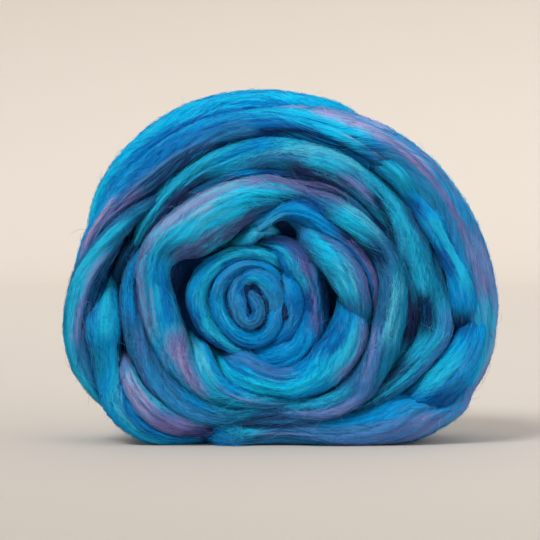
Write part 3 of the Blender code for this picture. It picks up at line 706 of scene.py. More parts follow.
# %% Course of a lap
# What a course gives at each place: the middle of the strand and the direction towards its
# outer edge, both seen face on, half its width, the depth of its middle and half its depth.
Place = namedtuple("Place", "middle outward half depth half_depth")
TUCK = 1.5  # how far a lap's edge reaches under its neighbour, in mm
DEPTH_PER_WIDTH = 0.55
OUTER_DEPTH_PER_WIDTH = 0.75
LEAST_HALF_DEPTH = 10.0


def round_eye(turn, inner, outer, depth, half_depth):
    """A place on a strand that goes round the eye between two radii, in millimetres."""
    outward = np.stack([np.cos(np.radians(turn)), np.sin(np.radians(turn))], axis=-1)
    middle = outward * ((inner + outer) / 2)[..., None]
    return Place(middle, outward, (outer - inner) / 2, depth, half_depth)


def lap_course(rows, deep=DEPTH_PER_WIDTH, tuck=TUCK, closed=False):
    """The course of a lap: its edges on a smooth curve through its rows.

    Half its depth is a share of its width, and its middle lies that far behind its crown.
    Past its first or last row an open lap keeps that row's measures.
    """
    def course(turn):
        within = np.mod(turn, 360.0) if closed else np.clip(turn, rows[0][0], rows[-1][0])
        inner, outer, crown = np.moveaxis(smooth_columns(rows, within), -1, 0)
        inner, outer = inner - TUCK, outer + tuck
        half_depth = np.maximum(LEAST_HALF_DEPTH, (outer - inner) * deep)
        return round_eye(turn, inner, outer, half_depth - crown, half_depth)
    return course


arch_place = lap_course(LAPS["arch"].rows)(np.array([60.0]))
print("the arch over the eye is", round(2 * float(arch_place.half[0]), 1), "mm wide")

# %% [markdown]
# ## The rim, the back and the innermost roll
#
# Seen from the side the ball is three to four wraps deep, and its back is a plainer spiral of
# the same strand. Both follow the outline seen face on. The strand's end is tucked into the
# eye, folded once on itself: that piece crosses the eye, so its course is a table of places
# and not of angles.

# %% Courses of the rim's wraps
Wrap = namedtuple("Wrap", "place sway turn inset half_depth thickness")
RIM_WRAPS = {
    "rim_wrap_front": Wrap(-3, 3, 80, 4, 18, 32),
    "rim_wrap_rear": Wrap(26, 2.5, 200, 6, 20, 36),
}


def wrap_course(wrap):
    """The course of a wrap: it follows the outline, a little inside it, and sways in depth.

    Its inset falls to nothing underneath, where the ball rests.
    """
    def course(turn):
        # 1 straight below the eye, falling to 0 at 30 degrees below the level of the eye
        underneath = np.clip(-2 * np.sin(np.radians(turn)) - 1, 0, 1)
        outer = silhouette(turn) - wrap.inset * (1 - underneath)
        depth = wrap.place + wrap.sway * np.cos(np.radians(turn - wrap.turn))
        return round_eye(turn, outer - wrap.thickness, outer, depth,
                         np.full_like(turn, wrap.half_depth))
    return course


print(len(RIM_WRAPS), "wraps round the rim, behind the outer lap")

# %% Course of the back's spiral
BACK_START, BACK_TURNS = 310, 4.25
BACK_RUN_ON = 200  # its last degrees circle the centre
BACK_REACH = 0.83  # where it starts, as a share of the way out to the outline
BACK_EYE_MM = 7.0  # how far from the centre it ends
BACK_STRAND, INNERMOST_STRAND = 30, 0.8  # its width in mm, and the share of it at the end
BACK_EVEN_MM = 138.0  # where the outline lies further out, the strand spreads with it
BACK_RIM_CROWN, BACK_PEAK, BACK_HALF_DEPTH = 51, 61, 15
BACK_WOBBLE, WOBBLES_PER_TURN = 2.5, 2.3


def back_course(turn):
    """The course of the spiral: its radius is a share of the outline's that falls evenly.

    Its crown is highest half way in, and a slow wobble keeps its turns from being even.
    """
    done = (turn - BACK_START) / (360 * BACK_TURNS)
    left = np.maximum(1 - done, 0)
    wobble = BACK_WOBBLE * np.sin(np.radians(turn * WOBBLES_PER_TURN)) * left
    middle = np.hypot(BACK_REACH * silhouette(turn) * left, BACK_EYE_MM) + wobble
    half = BACK_STRAND / 2 * np.maximum(silhouette(turn) / BACK_EVEN_MM, 1)
    half = half * (1 - (1 - INNERMOST_STRAND) * done)
    crown = BACK_RIM_CROWN + (BACK_PEAK - BACK_RIM_CROWN) * np.sin(np.pi * done)
    half_depth = np.full_like(turn, float(BACK_HALF_DEPTH))
    return round_eye(turn, middle - half, middle + half, crown - half_depth, half_depth)


BACK_END = BACK_START + 360 * BACK_TURNS + BACK_RUN_ON
print(f"the back's spiral turns {(BACK_END - BACK_START) / 360:.1f} times")

# %% Course of the tucked end
# Step, right and up from the eye, half the strand's width, and crown, in millimetres
TUCKED_END = (
    (0, -6.2, 13.4, 3.4, 46.5), (1, -2.8, 11.0, 4.6, 50), (2, 1.5, 7.4, 5.4, 51.5),
    (3, 4.9, 2.2, 5.5, 52), (4, 6.2, -4.2, 5.4, 52), (5, 3.8, -9.8, 5.4, 52),
    (6, -1.8, -12.0, 5.6, 52), (7, -7.0, -8.0, 6.4, 52), (8, -8.9, -0.8, 7.2, 52),
    (9, -10.2, 6.6, 6.8, 51.5), (10, -9.2, 13.2, 6.0, 51), (11, -5.2, 18.4, 5.6, 51),
    (12, 1.2, 20.9, 6.0, 51.5), (13, 7.8, 18.9, 7.6, 52), (14, 12.8, 13.9, 8.2, 52),
    (15, 15.8, 7.4, 7.4, 51.5), (16, 16.6, 0.4, 6.8, 50.5), (17, 15.6, -6.2, 6.2, 48.5),
    (18, 12.4, -12.4, 5.2, 45), (19, 7.6, -16.8, 4.4, 41),
)
TUCKED_HALF_DEPTH = 9.0
NEXT_STEP = 0.01  # how far ahead and behind the direction is measured, in steps


def tucked_course(step):
    """The course of the tucked end: its middle on a smooth curve through its table."""
    x, z, half, crown = np.moveaxis(smooth_columns(TUCKED_END, step), -1, 0)
    ahead = smooth_columns(TUCKED_END, step + NEXT_STEP)
    behind = smooth_columns(TUCKED_END, step - NEXT_STEP)
    along = ahead[..., :2] - behind[..., :2]
    along /= np.linalg.norm(along, axis=-1, keepdims=True)
    # Seen face on this piece first turns clockwise and then the other way, but its outward
    # side is the same all along: a quarter turn clockwise from the way that it runs.
    outward = np.stack([along[..., 1], -along[..., 0]], axis=-1)
    half_depth = np.full_like(half, TUCKED_HALF_DEPTH)
    return Place(np.stack([x, z], axis=-1), outward, half, half_depth - crown, half_depth)


print("the tucked end starts at", tucked_course(np.array([0.0])).middle.round(1).tolist(), "mm")

# %% [markdown]
# ## What a strand is
#
# A strand has a course, a stretch of it, a dye with its stripes, and a seed of its own from
# which all its unevenness is drawn. Its fibres should be as long as they are on every other
# strand, so its length is measured once, and later sizes are in millimetres and not in turns.

# %% Strands
# A course from a start to an end, closed round the ball or with two ends, seen from the front
# or from the back. At its ends it dips by its sink. Its reach is the places along it and the
# length up to each, and its width is the mean one, in mm.
Strand = namedtuple("Strand", "name course start end closed faces_back dye stripes seed sink "
                    "reach width")
SINK_MM = 13.0
MEASURED_PLACES = 1500


def strand_length(strand_course, start, end):
    """Places along a course, a millimetre or two apart at most, and the length up to each."""
    at = np.linspace(start, end, MEASURED_PLACES)
    middle = strand_course(at).middle
    step = np.linalg.norm(np.diff(middle, axis=0), axis=1)
    return at, np.concatenate([[0.0], np.cumsum(step)])


def strand(name, course, start, end, dye, stripes, seed, closed=False, faces_back=False,
           sink=SINK_MM):
    """A strand whose length and width are measured on its course."""
    reach = strand_length(course, start, end)
    width = 2 * float(np.mean(course(reach[0]).half))
    return Strand(name, course, start, end, closed, faces_back, dye, stripes, seed,
                  -sink if faces_back else sink, reach, width)


def length_at(one, turn):
    """The length up to a turn, in mm."""
    return np.interp(turn, one.reach[0], one.reach[1])


def turn_at(one, length):
    """The turn at a length in mm."""
    return np.interp(length, one.reach[1], one.reach[0])


print("the big ring is", round(strand_length(lap_course(LAPS["big_ring"].rows), 148, 442)[1][-1]),
      "mm long")

# %% [markdown]
# ## Slanting fibres
#
# Wool is twisted a little as it is wound, so its fibres cross a lap slantwise. On the laps
# where the photograph shows it, a table says how far round the section the fibres have slid
# by each turn. Elsewhere they sway slowly to and fro.

# %% How far the fibres slide
SLIDE, SLIDE_WAVE_MM = 0.45, 130.0  # a slow sway, in radians, and its length
# Turn, and how far round the section they have slid, in radians: rising runs outwards
SLIDES = {
    "second_lap": ((300, 0.0), (325, 0.0), (352, 0.8), (362, 1.0), (398, 3.0), (412, 3.2),
                   (440, 3.0), (470, 2.4), (524, 2.6)),
    "big_ring": ((148, 0.0), (190, 0.2), (220, 1.5), (250, 1.8), (285, 1.4), (315, 2.2),
                 (352, 0.7), (380, 0.9), (410, 0.4), (442, 0.8)),
    "bright_lap": ((44, 0.0), (74, 0.2), (92, 0.6), (140, 0.4), (165, 0.0), (195, 0.2),
                   (238, 1.6), (265, 2.2), (320, 2.0)),
    "left_strand": ((122, 0.0), (142, 0.2), (168, 1.2), (195, 1.4), (218, 1.2)),
    "left_bulge": ((168, 0.6), (190, 0.2), (203, 0.4), (218, 1.7), (235, 2.2), (256, 2.3)),
    "lower_left_lap": ((195, 0.0), (215, 0.5), (235, 0.9), (266, 0.5)),
    "right_fan": ((318, 0.0), (330, 0.1), (350, 1.2), (362, 1.5)),
    "roll_fifth_turn": ((256, 0.6), (325, 0.8), (355, 0.0), (380, 0.2), (410, 1.2), (440, 1.3)),
}


def seeded(one, purpose):
    """Random numbers of a strand's own, different ones for each purpose."""
    return np.random.default_rng(one.seed + purpose)


def slide(one, turn):
    """How far round its section the fibres have slid, in radians, at each turn."""
    if one.name in SLIDES:
        rows = SLIDES[one.name]
        return smooth_columns(rows, np.clip(turn, rows[0][0], rows[-1][0]))[..., 0]
    chance = seeded(one, 11)
    done = (turn - one.start) / (one.end - one.start)
    waves = max(1, round(one.reach[1][-1] / SLIDE_WAVE_MM))
    return SLIDE * np.sin(2 * np.pi * waves * done + chance.uniform(0, 2 * np.pi))


print(f"{len(SLIDES)} strands have a table for their slant")

# %% [markdown]
# ## Bundles of fibre
#
# Combed wool lies in bundles, so a strand's skin is not smooth: soft ridges run along it,
# some two centimetres wide and some only two millimetres. They are a sum of waves that
# go round the section a whole number of times and drift slowly along the strand. The finest
# ridges are left to the material's bump.

# %% Ridges of the skin
WAVES = 22
LEAST_RIDGES, MOST_RIDGES = 3, 30
RIDGE_MM, RIDGE_FALL = 0.42, 0.8  # the widest ridge's height, and how fast finer ones fall
DRIFT = 1.6
RIDGE_FADE = 0.35  # how much a ridge swells and fades along the strand
SWELL_MM, SWELLS_PER_TURN = 0.9, 3
INSET_MM = 0.8


def bundles(one, turn, section):
    """How far the skin stands proud at each place, in mm: the sum of the strand's waves.

    A wave's height falls as its ridges get narrower. Its drift along a closed strand is a
    whole number of ridges, so that the skin meets itself.
    """
    section = section + slide(one, turn)
    chance = seeded(one, 0)
    ridges = chance.integers(LEAST_RIDGES, MOST_RIDGES, WAVES)
    whole = 1 if one.closed else chance.uniform(0.6, 1.4, WAVES)
    turns = (one.end - one.start) / 360
    drift = np.round(chance.uniform(-DRIFT, DRIFT, WAVES) * turns * 2) / turns * whole
    slow = np.round(chance.uniform(1, 5, WAVES) * turns) / turns * whole
    phases = chance.uniform(0, 2 * np.pi, (2, WAVES))
    size = RIDGE_MM * (2 * LEAST_RIDGES / (LEAST_RIDGES + ridges)) ** RIDGE_FALL
    around = np.radians(turn)
    swell = SWELL_MM * np.sin(SWELLS_PER_TURN * around + phases[0, 0])
    total = swell * np.sin(2 * section + phases[1, 0])
    for k in range(WAVES):
        fade = 1 - RIDGE_FADE + RIDGE_FADE * np.sin(slow[k] * around + phases[1, k])
        wave = np.sin(ridges[k] * section + drift[k] * around + phases[0, k])
        total = total + size[k] * wave * fade
    return total - INSET_MM


def wander(one, turn, section, purpose):
    """A slow wave over the skin, mostly between -1 and 1: five sines of random pitch."""
    chance = seeded(one, purpose)
    total = 0
    for _ in range(5):
        across, along = chance.integers(2, 9), chance.integers(1, 12)
        phase = chance.uniform(0, 2 * np.pi)
        total = total + np.sin(across * section + along * np.radians(turn) + phase)
    return total / 3


print(f"{WAVES} waves of {LEAST_RIDGES} to {MOST_RIDGES - 1} ridges")

# %% Towards the ends
BROAD_MM = 18.0  # a strand thinner than this tapers and dips over a shorter stretch


def near_end(one, turn, stretch):
    """0 along the strand, rising evenly to 1 over the last stretch before each end."""
    if one.closed:
        return np.zeros_like(turn)
    length = length_at(one, turn)
    to_end = np.minimum(length, one.reach[1][-1] - length)
    return np.clip(1 - to_end / min(stretch, stretch * one.width / BROAD_MM), 0, 1)


def soft_step(value, low, high):
    """0 at low and before it, 1 at high and beyond it, with a smooth rise between them."""
    t = np.clip((value - low) / (high - low), 0, 1)
    return t * t * (3 - 2 * t)


print("half way a soft step is", float(soft_step(0.5, 0, 1)))

# %% [markdown]
# ## Stripes along a strand
#
# A stripe is told by its share across the strand. Seen face on, the share could be read from
# the place alone, but then a stripe on the outer edge would be smeared down the whole side of
# the ball. So from a little inside the edge the share follows the angle instead. A stripe is
# also a bundle of its own, so its middle stands a little proud, with a groove beside it.

# %% Where a stripe lies
EDGE_SHARE = 0.85  # from here the share follows the angle round the edge
WANDER = 0.05  # how far a stripe wanders aside, as a share across
STRIPE_FADE_MM = 16.0
FADE_SPAN = (-0.4, 0.6)  # where a fade starts and ends, in its lengths from the stripe's end
REACH_ON_MM = 12.0  # how far an end runs on under its neighbours, past its table


def share_across(one, turn, section):
    """How far across the strand a place lies: 0 is the inner edge, and 1 near the outer one.

    It is the share seen face on up to EDGE_SHARE. From there it rises evenly with the angle,
    over the outer edge and round the far side.
    """
    angle = np.mod(section * (-1 if one.faces_back else 1) + np.pi, 2 * np.pi) - np.pi
    edge = math.acos(2 * EDGE_SHARE - 1)
    beyond = EDGE_SHARE + math.sin(edge) / 2 * (edge - angle)
    share = np.where(angle < edge, beyond, (np.cos(angle) + 1) / 2)
    return share + WANDER * wander(one, turn, section, 7)


def along_stripe(one, stripe, at):
    """The share that a stripe's middle has at each turn, and how present it is, 0 to 1.

    It fades in and out at its ends, but not where it runs under the strand's own end.
    """
    table = np.array(stripe.course)
    middle = np.interp(at, table[:, 0], table[:, 1])
    fade = STRIPE_FADE_MM * min(1, one.width / BROAD_MM)
    length = one.reach[1][-1]
    if one.closed:
        first, last, here = (turn * length / 360 for turn in (table[0, 0], table[-1, 0], at))
    else:
        first, last, here = (length_at(one, turn) for turn in (table[0, 0], table[-1, 0], at))
    present = np.ones_like(at)
    if one.closed or first > REACH_ON_MM + fade:
        present = present * soft_step((here - first) / fade, *FADE_SPAN)
    if one.closed or last < length - REACH_ON_MM - fade:
        present = present * soft_step((last - here) / fade, *FADE_SPAN)
    return middle, present


def stripes_near(one, turn, share):
    """For each stripe, how far places lie from its middle, in its widths, and its presence.

    On a closed strand each stripe is met three times, because its turns may pass 360.
    """
    for stripe in one.stripes:
        for at in (turn - 360, turn, turn + 360) if one.closed else (turn,):
            middle, present = along_stripe(one, stripe, at)
            yield stripe, np.abs(share - middle) / stripe.width, present


print("seen face on, the share is read up to", EDGE_SHARE)

# %% Relief of the stripes
CREST_MM = 0.6
GROOVE_MM = 0.7
GROOVE_AT, GROOVE_SPREAD = 1.15, 0.28  # from the stripe's middle, in its widths
DEEPEST_MM, HIGHEST_MM = -1.6, 1.2


def stripe_relief(one, turn, section):
    """How far the skin stands proud for its stripes, in mm.

    Each is a parabola across its width, with a bell-shaped groove just beyond it.
    """
    share = share_across(one, turn, section)
    total = np.zeros_like(share)
    for _, away, present in stripes_near(one, turn, share):
        crest = np.clip(1 - away**2, 0, 1)
        groove = np.exp(-(((away - GROOVE_AT) / GROOVE_SPREAD) ** 2))
        total += present * (CREST_MM * crest - GROOVE_MM * groove)
    return np.clip(total, DEEPEST_MM, HIGHEST_MM)


print("stripes stand out by up to", HIGHEST_MM, "mm")

# %% [markdown]
# ## The skin
#
# Now the course, the bundles and the stripes come together in one function of two numbers. A
# strand's end is rounded off and dips under its neighbours, so no end is seen. The ball rests
# on the floor under its own weight, and the skin is bent smoothly flat there.

# %% Skin of a strand
TAPER_MM, TAPER_CURVE = 22.0, 2.4
END_SHARE = 0.98  # how much of its size a strand loses at its very end
DIP_MM, DIP_CURVE = 46.0, 1.6
REST_SOFTNESS = 0.0012  # how softly the skin bends where it rests, in metres
SHORT_TURN, SHORT_ANGLE = 0.05, 0.002  # how far along and round its direction is measured


def skin(one, turn, section):
    """Points on a strand's skin, in metres.

    The section is an oval: 0 is its outer edge, a quarter turn its front, half a turn its
    inner edge. Where the ball rests, the height is bent smoothly so that it stays above 0.
    """
    place = one.course(turn)
    size = 1 - END_SHARE * near_end(one, turn, TAPER_MM) ** TAPER_CURVE
    dip = one.sink * near_end(one, turn, DIP_MM) ** DIP_CURVE
    proud = bundles(one, turn, section) + stripe_relief(one, turn, section)
    across = (place.half + proud) * size * np.cos(section)
    forward = (place.half_depth + proud) * size * np.sin(section)
    seen = place.middle + place.outward * across[..., None]
    height = seen[..., 1] * UP + EYE_UP
    height = (height + np.sqrt(height**2 + REST_SOFTNESS**2)) / 2
    depth = place.depth + dip - forward
    return np.stack([seen[..., 0] * ACROSS - EYE_LEFT, depth * DEEP, height], axis=-1)


def unit(vectors):
    """Vectors of the same direction and of length 1."""
    return vectors / np.maximum(np.linalg.norm(vectors, axis=-1, keepdims=True), 1e-9)


def skin_normal(one, turn, section, points):
    """The outward direction of the skin: across two short steps on it."""
    along = skin(one, turn + SHORT_TURN, section) - points
    around = skin(one, turn, section + SHORT_ANGLE) - points
    normal = np.cross(along, around)
    return normal / np.maximum(np.linalg.norm(normal, axis=-1, keepdims=True), 1e-12)


print("the direction of (3, 4) is", unit(np.array([3.0, 4.0])).tolist())

# %% [markdown]
# ## The laps of the face
#
# Each lap of the tables becomes a strand. It runs on a little past its table at both ends, to
# pass under its neighbours. The outer lap goes all the way round and is closed. On its far
# side, and on the rim and the back, the dye runs on in the same way but in no known places.
# Stripes there are drawn from a seed: each starts somewhere, wanders a little and ends.

# %% Stripes drawn from a seed
RUNNING_DYES = ("turquoise", "cobalt", "sky", "lilac", "royal", "cyan", "steel", "mauve",
                "aqua", "periwinkle", "teal", "plum")
RUNNING_SHARES, RUNNING_WIDTHS = (0.05, 0.95), (0.06, 0.2)
RUNNING_TURNS = (50, 170)  # how far a stripe runs, in degrees
RUNNING_WANDER = 0.12  # how far it strays between two points, as a share across
EARLIEST, LATEST = 20, 40  # it starts from so far before the start to so far before the end
FAR_SIDE_WIDTHS = (0.03, 0.09)


def running_stripes(start, end, count, seed, shares=RUNNING_SHARES, widths=RUNNING_WIDTHS):
    """Stripes of random dyes between two turns, each a random walk of four points."""
    chance = np.random.default_rng(seed)
    stripes = []
    for _ in range(count):
        length = chance.uniform(*RUNNING_TURNS)
        first = chance.uniform(start - EARLIEST, end - LATEST)
        middle = chance.uniform(*shares)
        turns = first + length * np.linspace(0, 1, 4)
        middles = middle + np.cumsum(chance.uniform(-RUNNING_WANDER, RUNNING_WANDER, 4))
        dye = RUNNING_DYES[int(chance.integers(len(RUNNING_DYES)))]
        course = tuple(zip(turns.tolist(), middles.tolist()))
        stripes.append(Stripe(dye, chance.uniform(*widths), course))
    return tuple(stripes)


print("one of them is", running_stripes(0, 360, 1, 1)[0].dye)

# %% Strands of the face
UNDERNEATH = 270  # the turn at which a closed strand begins and ends, out of sight
STRANDS = []
for number, (name, lap) in enumerate(LAPS.items()):
    if name == "outer_lap":
        course = lap_course(lap.rows, OUTER_DEPTH_PER_WIDTH, 0.0, closed=True)
        far_side = running_stripes(0, 360, 14, 61, (1.1, 1.6), FAR_SIDE_WIDTHS)
        STRANDS.append(strand(name, course, UNDERNEATH - 360, UNDERNEATH, lap.dye,
                              lap.stripes + far_side, 100 + number, closed=True))
    else:
        radius = sum(row[1] + row[2] for row in lap.rows) / len(lap.rows) / 2
        on = math.degrees(REACH_ON_MM / radius)
        STRANDS.append(strand(name, lap_course(lap.rows), lap.rows[0][0] - on,
                              lap.rows[-1][0] + on, lap.dye, lap.stripes, 100 + number))
print(f"{len(STRANDS)} strands on the face")

# %% Strands of the rim, the back and the eye
BACK_SINK_MM, TUCKED_SINK_MM = 5.0, 3.0
for number, (name, wrap) in enumerate(RIM_WRAPS.items()):
    stripes = running_stripes(0, 360, 22, 40 + number, (0.7, 1.6), FAR_SIDE_WIDTHS)
    STRANDS.append(strand(name, wrap_course(wrap), UNDERNEATH - 360, UNDERNEATH, "azure",
                          stripes, 200 + number, closed=True))
STRANDS.append(strand("back_spiral", back_course, BACK_START, BACK_END, "azure",
                      running_stripes(BACK_START, BACK_END, 60, 50), 210, faces_back=True,
                      sink=BACK_SINK_MM))
STRANDS.append(strand("tucked_end", tucked_course, 0, 19, "sky", (
    Stripe("steel", 0.24, ((0, 0.3), (4, 0.3), (8, 0.3))),
    Stripe("cobalt", 0.14, ((3, 0.98), (6, 0.98), (9, 0.95))),
    Stripe("cobalt", 0.24, ((9, 0.9), (10, 0.7), (11, 0.4), (12, 0.1))),
    Stripe("azure", 0.3, ((11, 0.8), (13, 0.5), (15, 0.4))),
    Stripe("turquoise", 0.10, ((11, 0.6), (13, 0.7), (14, 0.7))),
    Stripe("royal", 0.6, ((17, 0.4), (19, 0.4))),
), 220, sink=TUCKED_SINK_MM))
print(f"{len(STRANDS)} strands in all, {sum(s.reach[1][-1] for s in STRANDS) / 1000:.1f} m")

# %% [markdown]
# ## Colour on the skin
#
# Each vertex carries two colours: the dye that is there, and the dye that lies a little to
# one side. The material later mixes the two in fine streaks, the way carded colours mingle.
# A stripe fades at its edges and at its ends. Down a lap's flanks the colour is darkened as
# painted shade, most on the inner flank, where the creases fall into shade.

# %% Colour from the stripes
STRIPE_FADES_OUT, STRIPE_FULL = 1.35, 0.45  # from its middle, in its widths
# painted shade: how much a lap's colour is darkened down its flanks
PAINTED_FLANK_SHADE = 0.55
# How much of that painted shade falls on the outer flank of the strands that form the outline
OUTER_FLANK = {
    "outer_lap": 0.0, "rim_wrap_front": 0.0, "rim_wrap_rear": 0.0, "rear_top_lap": 0.0,
    "bottom_lap": 0.3, "right_fan": 0.6, "left_strand": 0.4, "left_bulge": 0.4,
    "back_spiral": 0.6,
}
FLANK_FROM, FLANK_FULL = 0.86, -0.1  # how far forward, as the sine of the section
INNER_TO_OUTER = (-0.2, 0.2)  # how far outwards, as its cosine
MINGLE_ASIDE = 0.16  # how far aside the other dye is read, as a share across
TONE, TONE_LIMITS = 0.10, (0.6, 1.5)


def dyed(one, turn, section, aside=0.0):
    """The skin's colour, in linear red, green and blue: stripes laid over each other."""
    share = share_across(one, turn, section) + aside
    colour = np.ones(share.shape + (3,)) * DYES[one.dye]
    for stripe, away, present in stripes_near(one, turn, share):
        edge = soft_step(away, STRIPE_FADES_OUT, STRIPE_FULL)
        mask = (edge * present)[..., None]
        colour = colour * (1 - mask) + DYES[stripe.dye] * mask
    return colour


def flank_shade(one, section):
    """Painted shade: 1 on the side that shows, falling towards the flanks, deeper on the inner one.
    """
    forward = np.sin(section) * (-1 if one.faces_back else 1)
    dark = soft_step(forward, FLANK_FROM, FLANK_FULL) * PAINTED_FLANK_SHADE
    outer = soft_step(np.cos(section), *INNER_TO_OUTER)
    return 1 - dark * (1 - outer * (1 - OUTER_FLANK.get(one.name, 1.0)))


def skin_colours(one, turn, section):
    """The skin's dye and the dye to one side, a little lighter or darker, both with painted flank
    shade.
    """
    main = dyed(one, turn, section)
    aside = MINGLE_ASIDE * np.sign(wander(one, turn, section, 3))
    other = dyed(one, turn, section, aside)
    tone = 1 + TONE * wander(one, turn, section, 5)
    shade = flank_shade(one, section)[..., None]
    return main * shade, other * shade * np.clip(tone, *TONE_LIMITS)[..., None]


print("a crown keeps", float(flank_shade(STRANDS[0], np.pi / 2)), "of its colour")

# %% [markdown]
# ## Shader arithmetic
#
# A material's pattern is easiest to read as a sum. This small class wraps a number that
# varies over a surface, and adds a Math node for each operator. Any other node comes from
# one method.

# %% Shader helpers
class Varying:
    """A number that varies over a surface. Arithmetic on it adds Math nodes."""

    def __init__(self, wiring, socket):
        self.wiring = wiring
        self.socket = socket

    def __add__(self, other):
        return self.wiring.math("ADD", self, other)

    def __radd__(self, other):
        return self.wiring.math("ADD", other, self)

    def __mul__(self, other):
        return self.wiring.math("MULTIPLY", self, other)

    def __rmul__(self, other):
        return self.wiring.math("MULTIPLY", other, self)


class Wiring:
    """The nodes of one material."""

    def __init__(self, material):
        self.tree = material.node_tree

    def add(self, kind, settings=None, values=None):
        """A node of a type, with its settings and then the values or links of its sockets."""
        node = self.tree.nodes.new(kind)
        for key, value in (settings or {}).items():
            setattr(node, key, value)
        for key, value in (values or {}).items():
            socket = node.inputs[key]
            source = value.socket if isinstance(value, Varying) else value
            if isinstance(source, bpy.types.NodeSocket):
                self.tree.links.new(source, socket)
            else:
                socket.default_value = source
        return node

    def number(self, node):
        """A node's first output, ready for arithmetic."""
        return Varying(self, node.outputs[0])

    def math(self, operation, first, second):
        """The result of one Math node."""
        settings = {"operation": operation}
        return self.number(self.add("ShaderNodeMath", settings, {0: first, 1: second}))

    def between(self, value, low, high):
        """0 below low and 1 above high, with a smooth rise between them."""
        settings = {"interpolation_type": "SMOOTHSTEP"}
        values = {"Value": value, "From Min": low, "From Max": high}
        return self.number(self.add("ShaderNodeMapRange", settings, values))

    def mixed(self, share, first, second, blend="MIX"):
        """A colour between two colours. Mix keeps its colour sockets at 6 and 7."""
        settings = {"data_type": "RGBA", "blend_type": blend}
        node = self.add("ShaderNodeMix", settings, {0: share, 6: first, 7: second})
        return node.outputs[2]


def plain_material(name):
    """A new material, its wiring and its shader."""
    material = bpy.data.materials.new(name)
    material.use_nodes = True
    return material, Wiring(material), material.node_tree.nodes["Principled BSDF"]


print("arithmetic on a pattern adds Math nodes to its material")

# %% [markdown]
# ## Combed wool
#
# The fibres all run along the strand, so the pattern does too: it reads a texture map that
# is measured in metres along and around the strand, stretched so that a streak is ten to
# thirty times as long as it is wide. Wide streaks mingle the two dyes, finer ones lighten and
# darken them, and thin light lines stand for paler fibres with a painted glint of light on
# them. The same streaks raise the bump. Wool is matt with a soft bloom at grazing angles,
# which is the shader's sheen.

# %% Wool material
SEED_SHIFT = 3.7  # how far apart two strands' patterns lie
FINE_ALONG, FINE_AROUND = 220.0, 2700.0  # the finest streaks, in features a metre
PALE_FIBRE_GLINT = (0.55, 0.80, 0.92, 1.0)
BUMP_STRENGTH, BUMP_METRES = 0.4, 0.0007
WOOL_ROUGHNESS = 0.9
WOOL_SPECULAR, WOOL_SPECULAR_TINT = 0.06, (0.4, 0.8, 1.0, 1.0)
SHEEN, SHEEN_ROUGHNESS, SHEEN_TINT = 0.08, 0.45, (0.30, 0.74, 1.0, 1.0)


def combed_wool(name, seed):
    """Wool whose colour and bump come from streaks of four sizes, on two dyes of the skin."""
    material, wiring, shader = plain_material(name)
    place = wiring.add("ShaderNodeUVMap", {"uv_map": "lengthwise"}).outputs[0]

    def streaks(along, around, detail, offset):
        """Noise with so many features a metre along the strand and around it."""
        mapping = wiring.add("ShaderNodeMapping", None, {
            "Vector": place,
            "Location": (offset, seed * SEED_SHIFT, 0.0),
            "Scale": (along, around, 1.0),
        })
        values = {"Vector": mapping.outputs[0], "Scale": 1.0, "Detail": detail,
                  "Roughness": 0.55, "Distortion": 0.7}
        return wiring.number(wiring.add("ShaderNodeTexNoise", {"noise_dimensions": "2D"}, values))

    broad = streaks(along=13.0, around=380.0, detail=2.0, offset=0.0)
    middle = streaks(along=60.0, around=1100.0, detail=2.0, offset=5.0)
    fine = streaks(FINE_ALONG, FINE_AROUND, detail=1.0, offset=9.0)
    pale = streaks(along=70.0, around=2000.0, detail=0.0, offset=13.0)

    dye = wiring.add("ShaderNodeAttribute", {"attribute_name": "dye"}).outputs["Color"]
    other = wiring.add("ShaderNodeAttribute", {"attribute_name": "other_dye"}).outputs["Color"]
    share = wiring.between(0.65 * broad + 0.35 * middle, 0.30, 0.70)
    colour = wiring.mixed(share, dye, other)
    light = 0.77 + 0.20 * middle + 0.30 * fine
    grey = wiring.add("ShaderNodeCombineColor", None, {0: light, 1: light, 2: light}).outputs[0]
    colour = wiring.mixed(1.0, colour, grey, "MULTIPLY")
    # thin pale lines: paler fibres, partly a painted glint of light on the fibres
    pale_fibre_glint = 0.08 * wiring.between(pale, 0.62, 0.80)
    colour = wiring.mixed(pale_fibre_glint, colour, PALE_FIBRE_GLINT)
    height = 0.5 * broad + 0.34 * middle + 0.22 * fine
    bump = wiring.add("ShaderNodeBump", None, {
        "Strength": BUMP_STRENGTH, "Distance": BUMP_METRES, "Height": height,
    })
    wiring.tree.links.new(colour, shader.inputs["Base Color"])
    wiring.tree.links.new(bump.outputs[0], shader.inputs["Normal"])
    shader.inputs["Roughness"].default_value = WOOL_ROUGHNESS
    shader.inputs["Specular IOR Level"].default_value = WOOL_SPECULAR
    shader.inputs["Specular Tint"].default_value = WOOL_SPECULAR_TINT
    shader.inputs["Sheen Weight"].default_value = SHEEN
    shader.inputs["Sheen Roughness"].default_value = SHEEN_ROUGHNESS
    shader.inputs["Sheen Tint"].default_value = SHEEN_TINT
    return material


print(f"a fine streak is {1000 / FINE_ALONG:.1f} mm long and {1000 / FINE_AROUND:.1f} mm wide")

# %% [markdown]
# ## The laps as meshes
#
# A lap's grid has a row every few millimetres along and many columns round its section,
# closer together on the side that shows. An end is rounded off and closed with a pole. Two
# texture maps go with it. One is in metres along and around the strand, for the streaks. The
# other lays the whole grid out in one square, where every place has a spot of its own.

# %% Grid of a strand
ROW_MM, COLUMN_MM = 3.6, 1.8
LEAST_ROWS = 12
CROWDING = 0.6


def section_angles(columns, faces_back, column):
    """The angle round the section of each column, crowded towards the side that shows."""
    even = column * 2 * np.pi / columns
    side = -1 if faces_back else 1
    return even + side * CROWDING * np.cos(even)


